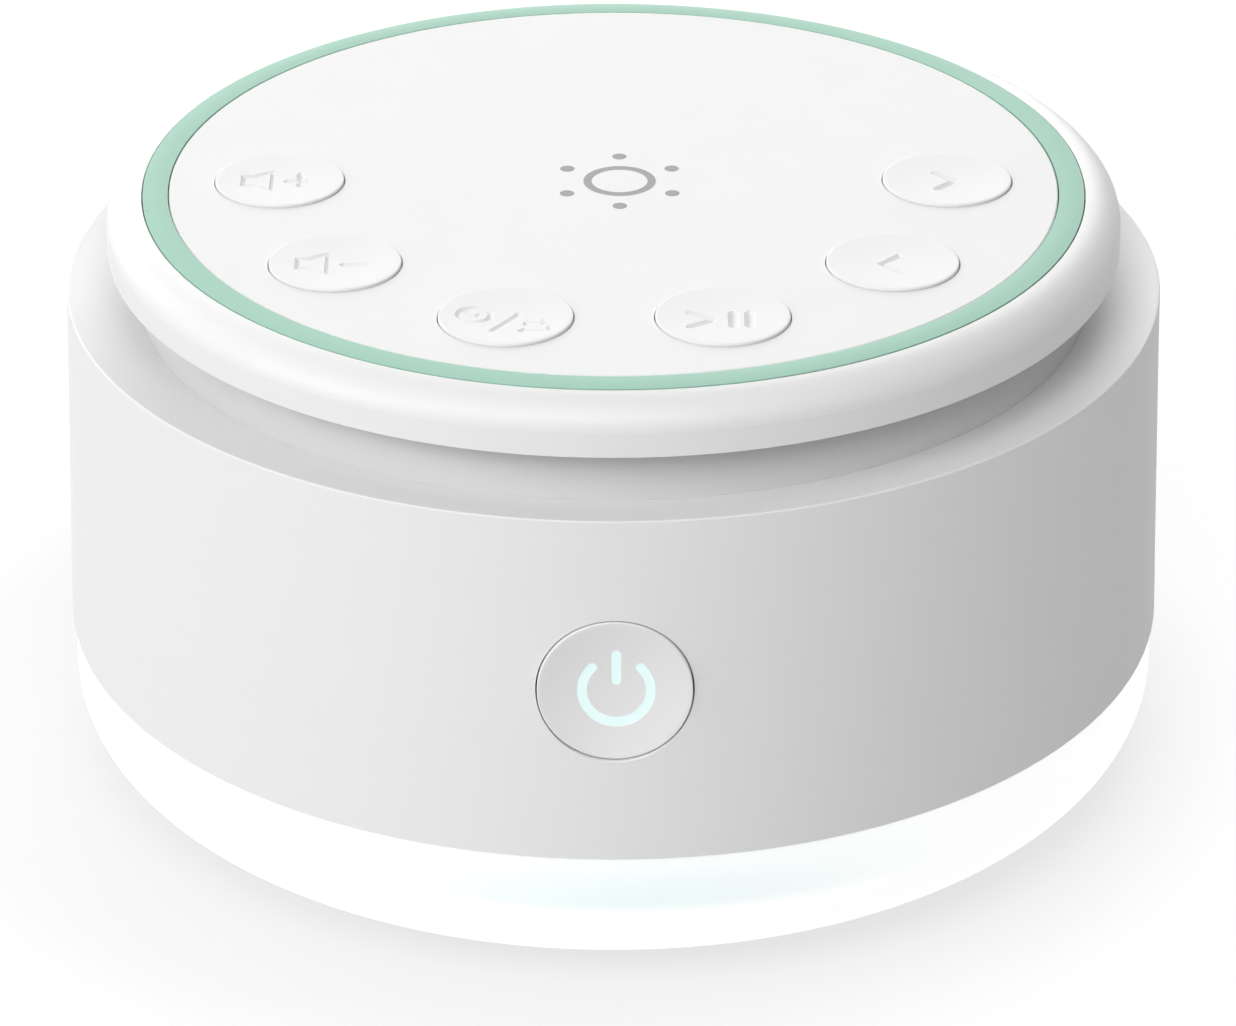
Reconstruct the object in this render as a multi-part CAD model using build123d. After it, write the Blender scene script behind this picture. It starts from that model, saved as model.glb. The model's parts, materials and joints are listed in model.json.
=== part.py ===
"""White noise sound machine: a round table-top unit with a button cap, a sound groove and a glowing base.

Millimetres, +Z up, front (power button) towards -Y. The origin is on the machine's axis, on the table.
Each function builds one separate piece of the machine, and each piece is written to its own STEP file.
Heights are measured from the table; a pair such as (low, high) gives the two faces of a piece.
"""
from build123d import *
import os
from math import sqrt

# ---- Outer shape ---------------------------------------------------------------------------------
BODY_R = 53.0            # body wall at its lower edge
LIP_R = 52.0             # body wall at its lip, after the moulding draft
BODY_H = 33.74           # lower edge to lip, before the lip is rounded
BOWL_DEPTH = 14.0        # glowing bowl below the body
FOOT_H = 1.0             # rubber feet stand proud of the bowl's floor
WALL = 2.0               # moulded wall
BODY_Z = FOOT_H + BOWL_DEPTH
LIP_Z = BODY_Z + BODY_H
LIP_ROUND = 0.15

# ---- Glowing bowl --------------------------------------------------------------------------------
BOWL_R = 52.7
BOWL_CORNER = (10.4, 8.4)  # half-axes of the elliptical corner, across and up
BOWL_WALL = 1.9
SPIGOT_R = 50.8          # ring that centres the bowl inside the body
SPIGOT_T = 1.5
SPIGOT_Z = BODY_Z + 2.5
PLATE_R = 36.0           # base plate, flush in the bowl's floor
PLATE_STEP_R = 33.5
PLATE_STEP_Z = FOOT_H + 1.2
PLATE_GAP = 0.15

# ---- Sound groove --------------------------------------------------------------------------------
SEAT_R = 44.9            # inner end of the funnel's dish, on the collar's seat
SEAT_Z = BODY_Z + 32.2
FUNNEL_ARC_R = 26.5
FLANGE_R = 44.0          # inner edge of the body's inward flange
FLANGE_T = 2.0
SKIRT_R = 45.1           # lower edge of the collar's cove
SKIRT_Z = BODY_Z + 32.46
NECK_R = 43.4            # collar wall behind the groove
NECK_WALL = 1.6
COVE_TOP_Z = BODY_Z + 37.0
SLOT_COUNT = 72
SLOT_W = 1.8
SLOT_Z = (BODY_Z + 36.3, BODY_Z + 38.6)

# ---- Cap -----------------------------------------------------------------------------------------
CAP_R = 48.0
CREASE_Z = BODY_Z + 37.9  # sharp lower edge of the cap's rim
CAP_WALL_TOP = BODY_Z + 40.2
RIM_TOP_Z = BODY_Z + 42.8
RIM_IN_R = 46.0
RIM_CHAMFER = 0.6
LEDGE_Z = (BODY_Z + 39.0, BODY_Z + 40.7)
LEDGE_R = 39.3
RING_R = (42.13, 44.5)   # accent ring, inner and outer
RING_EDGE_Z = (BODY_Z + 42.95, BODY_Z + 42.87)
RING_CROWN_Z = BODY_Z + 43.0
RING_SLOT_R = 44.62
PANEL_R = 42.03
PANEL_TOP = BODY_Z + 42.95
PANEL_EDGE = 0.12

# ---- Top buttons ---------------------------------------------------------------------------------
BUTTON_R = 6.1
BUTTON_PITCH_R = 31.6
BUTTON_STAND = 0.25      # above the panel
BUTTON_DISH = 0.18
BUTTON_ROUND = 0.15
BUTTON_GAP = 0.12
BUTTON_SKIN = 1.2
BUTTON_POCKET_R = 4.9
BUTTON_NIB_R = 1.5
BUTTON_FLANGE_R = 7.2
BUTTON_FLANGE_T = 1.2
BUTTON_PLAY = 0.1        # flange to panel
BUTTON_FLAT = 6.6        # flat on the flange that stops the button from turning
BUTTON_TRAVEL = 0.5
BUTTON_ANGLES = {
    "volume_up": 180,
    "volume_down": 216,
    "timer": 252,
    "play_pause": 288,
    "previous": 324,
    "next": 360,
}

# ---- Power button --------------------------------------------------------------------------------
POWER_R = 6.92
POWER_Z = BODY_Z + 16.95
POWER_RIM_Y = -52.35     # plane of the button's rim
POWER_DISH = 0.6
POWER_ROUND = 0.25
POWER_GAP = 0.15
POWER_SKIN = 1.75
POWER_POCKET_R = 5.5
POWER_FLANGE_R = 8.4
POWER_FLANGE_T = 1.0
POWER_PLAY = 0.1
POWER_PAD_R = 9.4
POWER_PAD_Y = -49.3      # flat face of the pad behind the wall
POWER_TRAVEL = 0.6
SYMBOL_R = (2.66, 3.52)
SYMBOL_LIFT = -0.05
SYMBOL_GAP_DEG = 43.5
SYMBOL_BAR = (0.6, 3.9)

# ---- Inner stack ---------------------------------------------------------------------------------
PLATE_TOP_Z = 3.6
BASE_BOSS_Z = 5.6
LED_BOARD_Z = (16.6, 17.8)
FLOOR_Z = (17.8, 19.8)            # chassis floor
CHASSIS_R = 50.4
CHASSIS_RIM_Z = 22.0
MAIN_BOARD_Z = (22.0, 23.6)
TOWER_Z = 23.0                    # chassis towers meet the collar's legs
BAFFLE_Z = (42.5, 44.5)           # collar floor that carries the speaker
BUTTON_BOARD_Z = (49.3, 50.9)

# ---- Fasteners: shank, pilot hole, clearance hole ------------------------------------------------
LARGE_SHANK_R, LARGE_PILOT_R, LARGE_CLEAR_R = 1.45, 1.5, 1.75
SMALL_SHANK_R, SMALL_PILOT_R, SMALL_CLEAR_R = 0.95, 1.0, 1.2
QUARTERS = (45, 135, 225, 315)
BASE_SCREW_R = 27.0
BASE_HEAD_Z = 3.7                 # underside of the boss that the screw head pulls on
TOWER_R = 40.6
CAP_SCREW_R = 38.6
CAP_SCREW_ANGLES = (22, 158, 236, 304)
BOARD_SCREW_R = 31.0
BOARD_SCREW_ANGLES = (30, 150, 210, 330)
PANEL_BOSSES = ((-22, 20), (22, 20), (-14, -14), (14, -14))
PANEL_BOSS_R = 2.6
LED_SCREW_ANGLES = (0, 120, 240)
SPEAKER_SCREW_R = 25.2

# ---- Boards and parts on them --------------------------------------------------------------------
BUTTON_BOARD_R = 35.4
MAIN_BOARD_R = 36.0
LED_BOARD_R = (33.0, 46.5)
LED_PITCH_R = 40.0
LED_COUNT = 12
LED_SIZE = (5.0, 1.4)
POWER_BOARD_Y = (-44.2, -42.6)
POWER_BOARD_HALF = 11.0
POWER_BOARD_TOP = 40.4
SWITCH_HALF = 3.0
SWITCH_H = 2.0                    # top switches
POWER_SWITCH_H = 2.2
PLUNGER_R = 1.6
PLUNGER_STAND = 0.7
PLUNGER_LENGTH = 1.6
PLUNGER_GAP = 0.1
TOUCH_PAD_R = 6.2
RIBBON_Y = 31.0
RIBBON_W = 8.0
RIBBON_T = 0.3
RIBBON_BOW = 2.6
RIBBON_SOCKET = (11.0, 3.2, 2.0)
INLET_SIZE = (8.94, 7.35, 3.26)
INLET_CORNER = 1.5
INLET_MOUTH_Y = 51.9
INLET_GAP = 0.3
INLET_Z = MAIN_BOARD_Z[1] + INLET_SIZE[2] / 2
LED_PLUG_X = (-35.4, -33.2)       # header between light board and main board
LED_PLUG_HALF = 3.6
SOCKET_X = (-32.6, -29.4)         # speaker socket on the main board
SOCKET_TOP = 27.6

# ---- Speaker -------------------------------------------------------------------------------------
SPEAKER_HOLE_R = 22.2
GASKET_T = 0.6
BASKET_R = 27.6
BASKET_IN_R = 21.8
BASKET_FLANGE_T = 1.0
BASKET_TOP = BAFFLE_Z[0] - GASKET_T
YOKE_R = 15.0
YOKE_Z = (24.8, 26.8)
POLE_R = 6.2
MAGNET_R = (8.5, 16.0)
FRONT_PLATE_R = (7.7, 15.0)
FRONT_PLATE_Z = (31.3, 33.3)
COIL_R = (6.75, 7.05, 7.3)        # former inside, former outside, winding outside
COIL_Z = (28.8, 30.3, 34.3)       # former's lower end, winding's two ends
SPIDER_Z = FRONT_PLATE_Z[1] + 1.7
SPIDER_R = (13.4, 14.8)           # glued edge on the basket's ledge
CONE_NECK = (7.1, 36.3)
CONE_RIM_R = 18.9
CONE_T = 0.5
CONE_TRAVEL = 1.0
ROLL_R = 1.3
ROLL_CENTRE_R = 20.3
SURROUND_T = 0.4

BOTTOM = (Align.CENTER, Align.CENTER, Align.MIN)
CUT = 1.0                # how far a cutting tool runs past a face


# ---- Helpers -------------------------------------------------------------------------------------
def turned(*outline):
    """Turn a closed polygon of (radius, height) points about the machine's axis."""
    return revolve(Plane.XZ * Polygon(*outline, align=None), Axis.Z)


def turned_curve(curve):
    """Turn a closed outline of lines and arcs, drawn as (radius, height), about the machine's axis."""
    return revolve(make_face(Plane.XZ * curve), Axis.Z)


def tube(inner, outer, low, high):
    """A plain ring with a rectangular section."""
    return turned((inner, low), (outer, low), (outer, high), (inner, high))


def rod(radius, low, high):
    """An upright cylinder between two heights."""
    return Pos(0, 0, low) * Cylinder(radius, high - low, align=BOTTOM)


def block(x, y, z):
    """A box between pairs of limits along each axis."""
    size = [high - low for low, high in (x, y, z)]
    return Pos(x[0], y[0], z[0]) * Box(*size, align=(Align.MIN,) * 3)


def around(radius, angles):
    """Places on a circle about the axis, each turned to face outwards."""
    return [Rot(0, 0, angle) * Pos(radius, 0, 0) for angle in angles]


def steps(count, offset=0.0):
    """Angles that divide the circle evenly, shifted by a share of one step."""
    return [360 / count * (number + offset) for number in range(count)]


def copies(places, piece):
    """The same piece at every place, as separate solids."""
    return Compound([place * piece for place in places])


def facing_front(piece, y):
    """Stand a piece built along +Z at the power button, so that its height runs from y towards the front."""
    return Pos(0, y, POWER_Z) * Rot(90, 0, 0) * piece


def crown(rim_r, rim_z, height):
    """Profile arc of a shallow spherical crown from its rim to its apex on the axis; a dish if height < 0."""
    sphere_r = (rim_r**2 + height**2) / (2 * abs(height))
    rise = abs(height) - sphere_r + sqrt(sphere_r**2 - (rim_r / 2) ** 2)
    half_way = (rim_r / 2, rim_z + (rise if height > 0 else -rise))
    return ThreePointArc((rim_r, rim_z), half_way, (0, rim_z + height))


def body_radius(z):
    """Outer radius of the drafted body wall at a height."""
    return BODY_R - (BODY_R - LIP_R) * (z - BODY_Z) / BODY_H


def screw(shank_r, head, length, seat_z, up=True):
    """A pan head screw on the axis; head is (radius, height) and seat_z is where the head bears."""
    side = 1 if up else -1
    head_r, head_h = head
    shank = sorted((seat_z, seat_z + side * length))
    cap = sorted((seat_z, seat_z - side * head_h))
    return rod(shank_r, *shank) + rod(head_r, *cap)


def dished_button(radius, height, dish, edge, flange, pocket, skin):
    """Hollow round button standing on its flange: dished face, rounded rim, open back.

    flange is (radius, thickness), and pocket is the radius of the hollow that leaves the given skin.
    """
    flange_r, flange_t = flange
    face_r = radius - edge
    curve = Polyline(
        (0, height - dish), (0, height - skin), (pocket, height - skin), (pocket, 0), (flange_r, 0),
        (flange_r, flange_t), (radius, flange_t), (radius, height - edge),
    )
    curve += CenterArc((face_r, height - edge), edge, 0, 90)
    return turned_curve(curve + crown(face_r, height, -dish))


def tact_switch(height, depth):
    """Square switch body standing on z = 0, with a blind hole of the given depth for its plunger."""
    body = block((-SWITCH_HALF, SWITCH_HALF), (-SWITCH_HALF, SWITCH_HALF), (0, height))
    body -= rod(PLUNGER_R + PLUNGER_GAP, height - depth, height + CUT)
    return chamfer(body.edges().filter_by(Axis.Z), 0.5)


# ---- Outer mouldings -----------------------------------------------------------------------------
def body_shell():
    """Drafted round wall whose top turns inwards as the dished funnel of the sound groove."""
    flange_z = SEAT_Z - FLANGE_T
    inner_top = (body_radius(flange_z) - WALL, flange_z + 0.8)
    lip, seat = (LIP_R, LIP_Z), (SEAT_R, SEAT_Z)
    curve = Polyline(seat, (FLANGE_R, SEAT_Z), (FLANGE_R, flange_z), inner_top)
    curve += Polyline(inner_top, (BODY_R - WALL, BODY_Z), (BODY_R, BODY_Z), lip)
    curve += RadiusArc(lip, seat, FUNNEL_ARC_R)
    shell = turned_curve(curve)
    lip_edge = shell.edges().filter_by(GeomType.CIRCLE).filter_by_position(Axis.Z, LIP_Z - 0.01, LIP_Z + 0.01)
    shell = fillet(lip_edge, LIP_ROUND)
    rib_in, rib_half = 48.4, 0.7
    rib = block((rib_in, inner_top[0] + CUT), (-rib_half, rib_half), (CHASSIS_RIM_Z, flange_z + 0.4))
    for place in around(0, steps(8, 0.5)):
        shell += place * rib
    wall_y = -body_radius(POWER_Z)
    shell += facing_front(rod(POWER_PAD_R, 0, POWER_PAD_Y - wall_y - CUT), POWER_PAD_Y)
    shell -= facing_front(rod(POWER_R + POWER_GAP, -CUT, WALL * 3), POWER_PAD_Y)
    inlet = SlotOverall(INLET_SIZE[0] + 2 * INLET_GAP, INLET_SIZE[2] + 2 * INLET_GAP)
    shell -= extrude(Plane.XZ.offset(-BODY_R - CUT) * Pos(0, INLET_Z) * inlet, WALL * 3)
    return shell


def diffuser_bowl():
    """Frosted bowl: straight side, elliptical corner, flat floor with a stepped opening for the base plate."""
    across, up = BOWL_CORNER
    flat_r = BOWL_R - across
    side_z = FOOT_H + up
    inner_r = BOWL_R - BOWL_WALL
    floor_z = FOOT_H + BOWL_WALL
    spigot_in = SPIGOT_R - SPIGOT_T
    opening_r, step_r = PLATE_STEP_R + PLATE_GAP, PLATE_R + PLATE_GAP
    root_z = BODY_Z - 1.0
    curve = EllipticalCenterArc((flat_r, side_z), across, up, start_angle=270, arc_size=90)
    curve += Polyline(
        (BOWL_R, side_z), (BOWL_R, BODY_Z), (SPIGOT_R, BODY_Z), (SPIGOT_R, SPIGOT_Z), (spigot_in, SPIGOT_Z),
        (spigot_in, root_z), (inner_r, root_z - (inner_r - spigot_in)), (inner_r, side_z),
    )
    curve += EllipticalCenterArc(
        (flat_r, side_z), across - BOWL_WALL, up - BOWL_WALL, start_angle=270, arc_size=90
    )
    curve += Polyline(
        (flat_r, floor_z), (opening_r, floor_z), (opening_r, PLATE_STEP_Z), (step_r, PLATE_STEP_Z),
        (step_r, FOOT_H), (flat_r, FOOT_H),
    )
    return turned_curve(curve)


FOOT_R = 4.55
FOOT_POCKET_Z = FOOT_H + 0.8
BASE_BOSS_R = 5.2
BASE_HEAD = (2.8, 1.6)


def base_plate():
    """Opaque plate set into the bowl's floor, with a pocket for each foot over its screw."""
    plate = turned(
        (0, FOOT_H), (PLATE_R, FOOT_H), (PLATE_R, PLATE_STEP_Z), (PLATE_STEP_R, PLATE_STEP_Z),
        (PLATE_STEP_R, PLATE_TOP_Z), (0, PLATE_TOP_Z),
    )
    hub_r, rib_t = 12.0, 1.2
    plate += tube(hub_r, hub_r + rib_t, PLATE_TOP_Z, BASE_BOSS_Z)
    rib = block((hub_r + rib_t / 2, BASE_SCREW_R - 4.0), (-rib_t / 2, rib_t / 2), (PLATE_TOP_Z, BASE_BOSS_Z))
    for place in around(0, QUARTERS):
        plate += place * rib
    for place in around(BASE_SCREW_R, QUARTERS):
        plate += place * rod(BASE_BOSS_R, PLATE_STEP_Z, BASE_BOSS_Z)
        plate -= place * rod(FOOT_R + 0.1, 0, FOOT_POCKET_Z)
        plate -= place * rod(BASE_HEAD[0] + 0.2, 0, BASE_HEAD_Z)
        plate -= place * rod(LARGE_CLEAR_R, 0, BASE_BOSS_Z + CUT)
    return plate


def rubber_feet():
    """Four round rubber pads, each pressed into its pocket in the base plate."""
    pad = rod(FOOT_R, 0, FOOT_POCKET_Z - 0.05)
    pad = chamfer(pad.edges().group_by(Axis.Z)[0], 0.35)
    return copies(around(BASE_SCREW_R, QUARTERS), pad)


def sound_collar():
    """Neck of the groove: cove skirt, ring of sound slots, and the floor that carries the speaker."""
    lean, drop = SKIRT_R - NECK_R, COVE_TOP_Z - SKIRT_Z
    cove_r = (lean**2 + drop**2) / (2 * lean)
    inside_r, hub_r = NECK_R - NECK_WALL, FLANGE_R - 0.1
    skirt_z = SEAT_Z + 0.03
    curve = Polyline(
        (NECK_R, COVE_TOP_Z), (NECK_R, LEDGE_Z[0]), (inside_r, LEDGE_Z[0]), (inside_r, BAFFLE_Z[1]),
        (SPEAKER_HOLE_R, BAFFLE_Z[1]), (SPEAKER_HOLE_R, BAFFLE_Z[0]), (hub_r, BAFFLE_Z[0]), (hub_r, skirt_z),
        (SKIRT_R, skirt_z), (SKIRT_R, SKIRT_Z),
    )
    curve += RadiusArc((SKIRT_R, SKIRT_Z), (NECK_R, COVE_TOP_Z), -cove_r)
    collar = turned_curve(curve)
    leg_r, leg_hole_z = 3.2, TOWER_Z + 13.5
    boss_r, boss_z = 2.2, BAFFLE_Z[1] + 2.0
    for place in around(0, QUARTERS):
        leg, boss = place * Pos(TOWER_R, 0, 0), place * Pos(SPEAKER_SCREW_R, 0, 0)
        collar += leg * rod(leg_r, TOWER_Z, BAFFLE_Z[0])
        collar += boss * rod(boss_r, BAFFLE_Z[1], boss_z)
        collar -= leg * rod(LARGE_PILOT_R, TOWER_Z - CUT, leg_hole_z)
        collar -= boss * rod(SMALL_PILOT_R, BAFFLE_Z[0] - CUT, boss_z - 0.8)
    for place in around(CAP_SCREW_R, CAP_SCREW_ANGLES):
        collar -= place * rod(LARGE_CLEAR_R, BAFFLE_Z[0] - CUT, BAFFLE_Z[1] + CUT)
    pass_x, pass_y = RIBBON_W / 2 + 2.0, (RIBBON_Y - 2.0, RIBBON_Y + 3.4)
    collar -= block((-pass_x, pass_x), pass_y, (BAFFLE_Z[0] - CUT, BAFFLE_Z[1] + CUT))
    slot = block((inside_r - CUT, NECK_R + 2 * CUT), (-SLOT_W / 2, SLOT_W / 2), SLOT_Z)
    return collar - copies(around(0, steps(SLOT_COUNT, 0.5)), slot)


def acoustic_mesh():
    """Band of dust mesh behind the sound slots."""
    outer = NECK_R - NECK_WALL
    return tube(outer - 0.45, outer, SLOT_Z[0] - 1.0, LEDGE_Z[0])


def cap_shell():
    """Cap rim with a rounded shoulder, a sharp lower crease and the ledge under the ring and panel."""
    curve = Polyline(
        (RING_SLOT_R, RIM_TOP_Z), (RING_SLOT_R, LEDGE_Z[1]), (LEDGE_R, LEDGE_Z[1]), (LEDGE_R, LEDGE_Z[0]),
        (RIM_IN_R, LEDGE_Z[0]), (RIM_IN_R, CREASE_Z + RIM_CHAMFER), (RIM_IN_R + RIM_CHAMFER, CREASE_Z),
        (CAP_R, CREASE_Z), (CAP_R, CAP_WALL_TOP),
    )
    across, up = CAP_R - RING_SLOT_R, RIM_TOP_Z - CAP_WALL_TOP
    curve += EllipticalCenterArc((RING_SLOT_R, CAP_WALL_TOP), across, up, start_angle=0, arc_size=90)
    cap = turned_curve(curve)
    boss_r = 2.4
    for place in around(CAP_SCREW_R, CAP_SCREW_ANGLES):
        cap += place * rod(boss_r, BAFFLE_Z[1], LEDGE_Z[1])
        cap -= place * rod(LARGE_PILOT_R, BAFFLE_Z[1] - CUT, LEDGE_Z[0] - CUT)
    return cap


def accent_ring():
    """Slightly domed ring that sits in the groove between the cap's shoulder and the panel."""
    inner, outer = RING_R
    inner_z, outer_z = RING_EDGE_Z
    curve = Polyline((inner, inner_z), (inner, LEDGE_Z[1]), (outer, LEDGE_Z[1]), (outer, outer_z))
    curve += ThreePointArc((outer, outer_z), ((inner + outer) / 2, RING_CROWN_Z), (inner, inner_z))
    return turned_curve(curve)


def top_panel():
    """Flat control panel with six button holes, screw bosses and a rib beside each button's flat."""
    panel = rod(PANEL_R, LEDGE_Z[1], PANEL_TOP)
    panel = chamfer(panel.edges().group_by(Axis.Z)[-1], PANEL_EDGE)
    for x, y in PANEL_BOSSES:
        panel += Pos(x, y, 0) * rod(PANEL_BOSS_R, BUTTON_BOARD_Z[1], LEDGE_Z[1])
        panel -= Pos(x, y, 0) * rod(SMALL_PILOT_R, BUTTON_BOARD_Z[1] - CUT, PANEL_TOP - 1.2)
    rib_x, rib_half = (-BUTTON_FLAT - 1.2, -BUTTON_FLAT - 0.2), 3.0
    rib = block(rib_x, (-rib_half, rib_half), LEDGE_Z)
    for place in around(BUTTON_PITCH_R, BUTTON_ANGLES.values()):
        panel -= place * rod(BUTTON_R + BUTTON_GAP, LEDGE_Z[1] - CUT, PANEL_TOP + CUT)
        panel += place * rib
    return panel


# ---- Buttons -------------------------------------------------------------------------------------
def top_button(angle):
    """Push button with a dished top, a retaining flange with one flat, and a nib over its switch."""
    low = LEDGE_Z[1] - BUTTON_PLAY - BUTTON_FLANGE_T
    height = PANEL_TOP + BUTTON_STAND - low
    nib_z = BUTTON_BOARD_Z[1] + SWITCH_H + PLUNGER_STAND - low
    flange = (BUTTON_FLANGE_R, BUTTON_FLANGE_T)
    button = dished_button(
        BUTTON_R, height, BUTTON_DISH, BUTTON_ROUND, flange, BUTTON_POCKET_R, BUTTON_SKIN
    )
    button += rod(BUTTON_NIB_R, nib_z, height - BUTTON_SKIN)
    reach = BUTTON_FLANGE_R + CUT
    button -= block((-reach, -BUTTON_FLAT), (-reach, reach), (-CUT, BUTTON_FLANGE_T))
    return Rot(0, 0, angle) * Pos(BUTTON_PITCH_R, 0, low) * button


def top_plunger(angle):
    """Round plunger of one tact switch; it moves with its button."""
    top = BUTTON_BOARD_Z[1] + SWITCH_H + PLUNGER_STAND
    return Rot(0, 0, angle) * Pos(BUTTON_PITCH_R, 0, 0) * rod(PLUNGER_R, top - PLUNGER_LENGTH, top)


def power_symbol(height):
    """The power symbol, an open ring with a bar in its gap, standing on z = 0."""
    stroke = SYMBOL_R[1] - SYMBOL_R[0]
    middle_r = sum(SYMBOL_R) / 2
    arc = CenterArc((0, SYMBOL_LIFT), middle_r, 90 + SYMBOL_GAP_DEG, 360 - 2 * SYMBOL_GAP_DEG)
    bar = Pos(0, sum(SYMBOL_BAR) / 2) * Rot(0, 0, 90) * SlotOverall(SYMBOL_BAR[1] - SYMBOL_BAR[0], stroke)
    return extrude(SlotArc(arc, stroke), height) + extrude(bar, height)


POWER_FLANGE_Y = POWER_PAD_Y + POWER_PLAY + POWER_FLANGE_T
POWER_HEIGHT = POWER_FLANGE_Y - POWER_RIM_Y
LENS_BACK_T = 1.0


def power_button():
    """Front button with a dished face, pierced by the power symbol."""
    flange = (POWER_FLANGE_R, POWER_FLANGE_T)
    button = dished_button(
        POWER_R, POWER_HEIGHT, POWER_DISH, POWER_ROUND, flange, POWER_POCKET_R, POWER_SKIN
    )
    button -= power_symbol(POWER_HEIGHT)
    return facing_front(button, POWER_FLANGE_Y)


def power_symbol_lens():
    """Clear insert that fills the symbol from behind and presses the power switch with its stem."""
    skin_back = POWER_HEIGHT - POWER_SKIN
    symbol_h = POWER_SKIN - POWER_DISH - 0.1
    stem_low = POWER_FLANGE_Y - (POWER_BOARD_Y[0] - POWER_SWITCH_H - PLUNGER_STAND)
    lens = Pos(0, 0, skin_back) * power_symbol(symbol_h)
    lens += rod(POWER_POCKET_R - 0.1, skin_back - LENS_BACK_T, skin_back)
    lens += rod(BUTTON_NIB_R, stem_low, skin_back - LENS_BACK_T)
    return facing_front(lens, POWER_FLANGE_Y)


def power_plunger():
    """Round plunger of the power switch."""
    top = POWER_SWITCH_H + PLUNGER_STAND
    return facing_front(rod(PLUNGER_R, top - PLUNGER_LENGTH, top), POWER_BOARD_Y[0])


# ---- Control electronics -------------------------------------------------------------------------
def button_board():
    """Round control board under the panel."""
    board = rod(BUTTON_BOARD_R, *BUTTON_BOARD_Z)
    for x, y in PANEL_BOSSES:
        board -= Pos(x, y, 0) * rod(SMALL_CLEAR_R, BUTTON_BOARD_Z[0] - CUT, BUTTON_BOARD_Z[1] + CUT)
    return board


def button_board_screws():
    """Screws that hold the control board to the panel's bosses."""
    piece = screw(SMALL_SHANK_R, (2.1, 1.2), 5.6, BUTTON_BOARD_Z[0])
    return copies([Pos(x, y, 0) for x, y in PANEL_BOSSES], piece)


def button_switches():
    """Bodies of the six tact switches, each open on top for its plunger."""
    body = tact_switch(SWITCH_H, PLUNGER_LENGTH - PLUNGER_STAND + BUTTON_TRAVEL + 0.1)
    places = around(BUTTON_PITCH_R, BUTTON_ANGLES.values())
    return copies([place * Pos(0, 0, BUTTON_BOARD_Z[1]) for place in places], body)


def touch_pad():
    """Conductive pad between the control board and the panel, under the touch icon."""
    return rod(TOUCH_PAD_R, BUTTON_BOARD_Z[1], LEDGE_Z[1])


def ribbon_sockets():
    """Two upright ribbon sockets: under the control board and on the main board."""
    width, depth, height = RIBBON_SOCKET
    socket = Box(width, depth, height, align=BOTTOM)
    lows = (BUTTON_BOARD_Z[0] - height, MAIN_BOARD_Z[1])
    return copies([Pos(0, RIBBON_Y, low) for low in lows], socket)


def ribbon_cable():
    """Flat cable between the two ribbon sockets, with a slack bow outwards."""
    low, high = MAIN_BOARD_Z[1] + RIBBON_SOCKET[2], BUTTON_BOARD_Z[0] - RIBBON_SOCKET[2]
    middle = (low + high) / 2
    inner, outer = RIBBON_Y - RIBBON_T / 2, RIBBON_Y + RIBBON_T / 2
    curve = Line((inner, low), (outer, low)) + Line((inner, high), (outer, high))
    for y in (inner, outer):
        curve += ThreePointArc((y, low), (y + RIBBON_BOW, middle), (y, high))
    return extrude(make_face(Plane.YZ * curve), RIBBON_W / 2, both=True)


def cap_screws():
    """Screws up through the collar's floor into the cap."""
    return copies(around(CAP_SCREW_R, CAP_SCREW_ANGLES), screw(LARGE_SHANK_R, (2.4, 1.6), 9.5, BAFFLE_Z[0]))


# ---- Chassis and main board ----------------------------------------------------------------------
CHASSIS_HEAD = (2.8, 1.7)
CHASSIS_HEAD_Z = 21.0


def chassis():
    """Inner frame: floor, rim, posts to the base plate, towers to the collar, board stand-offs."""
    low, high = FLOOR_Z
    root = 0.5           # how deep a post or tower is rooted in the floor
    frame = rod(CHASSIS_R, low, high) + tube(CHASSIS_R - 1.7, CHASSIS_R, high, CHASSIS_RIM_Z)
    post = turned((0, BASE_BOSS_Z), (3.4, BASE_BOSS_Z), (4.2, low + root), (0, low + root))
    for place in around(BASE_SCREW_R, QUARTERS):
        frame += place * post
        frame -= place * rod(LARGE_PILOT_R, BASE_BOSS_Z - CUT, 14.0)
    for place in around(TOWER_R, QUARTERS):
        frame += place * rod(4.3, high - root, TOWER_Z)
        frame -= place * rod(CHASSIS_HEAD[0] + 0.3, low - CUT, CHASSIS_HEAD_Z)
        frame -= place * rod(LARGE_CLEAR_R, low - CUT, TOWER_Z + CUT)
    for place in around(BOARD_SCREW_R, BOARD_SCREW_ANGLES):
        frame += place * rod(2.6, high - root, MAIN_BOARD_Z[0])
        frame -= place * rod(SMALL_PILOT_R, high - 1.0, MAIN_BOARD_Z[0] + CUT)
    for place in around(LED_PITCH_R, LED_SCREW_ANGLES):
        frame -= place * rod(SMALL_PILOT_R, low - CUT, high - 0.4)
    plug_gap = 0.8
    plug_x = (LED_PLUG_X[0] - plug_gap, LED_PLUG_X[1] + plug_gap)
    plug_half = LED_PLUG_HALF + plug_gap
    frame -= block(plug_x, (-plug_half, plug_half), (low - CUT, high + CUT))
    return frame + power_board_guides()


def power_board_guides():
    """Two grooved posts on the chassis floor that hold the upright power board by its edges."""
    grip, gap, top = 1.2, 0.05, 34.0
    inner, outer = POWER_BOARD_HALF - grip, POWER_BOARD_HALF + 2.0
    post_y = (POWER_BOARD_Y[0] - 1.8, POWER_BOARD_Y[1] + 1.8)
    posts = block((inner, outer), post_y, (FLOOR_Z[1], top)) + block((-outer, -inner), post_y, (FLOOR_Z[1], top))
    groove_half = POWER_BOARD_HALF + 2 * gap
    groove_y = (POWER_BOARD_Y[0] - gap, POWER_BOARD_Y[1] + gap)
    return posts - block((-groove_half, groove_half), groove_y, (FLOOR_Z[1] - CUT, top + CUT))


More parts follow.
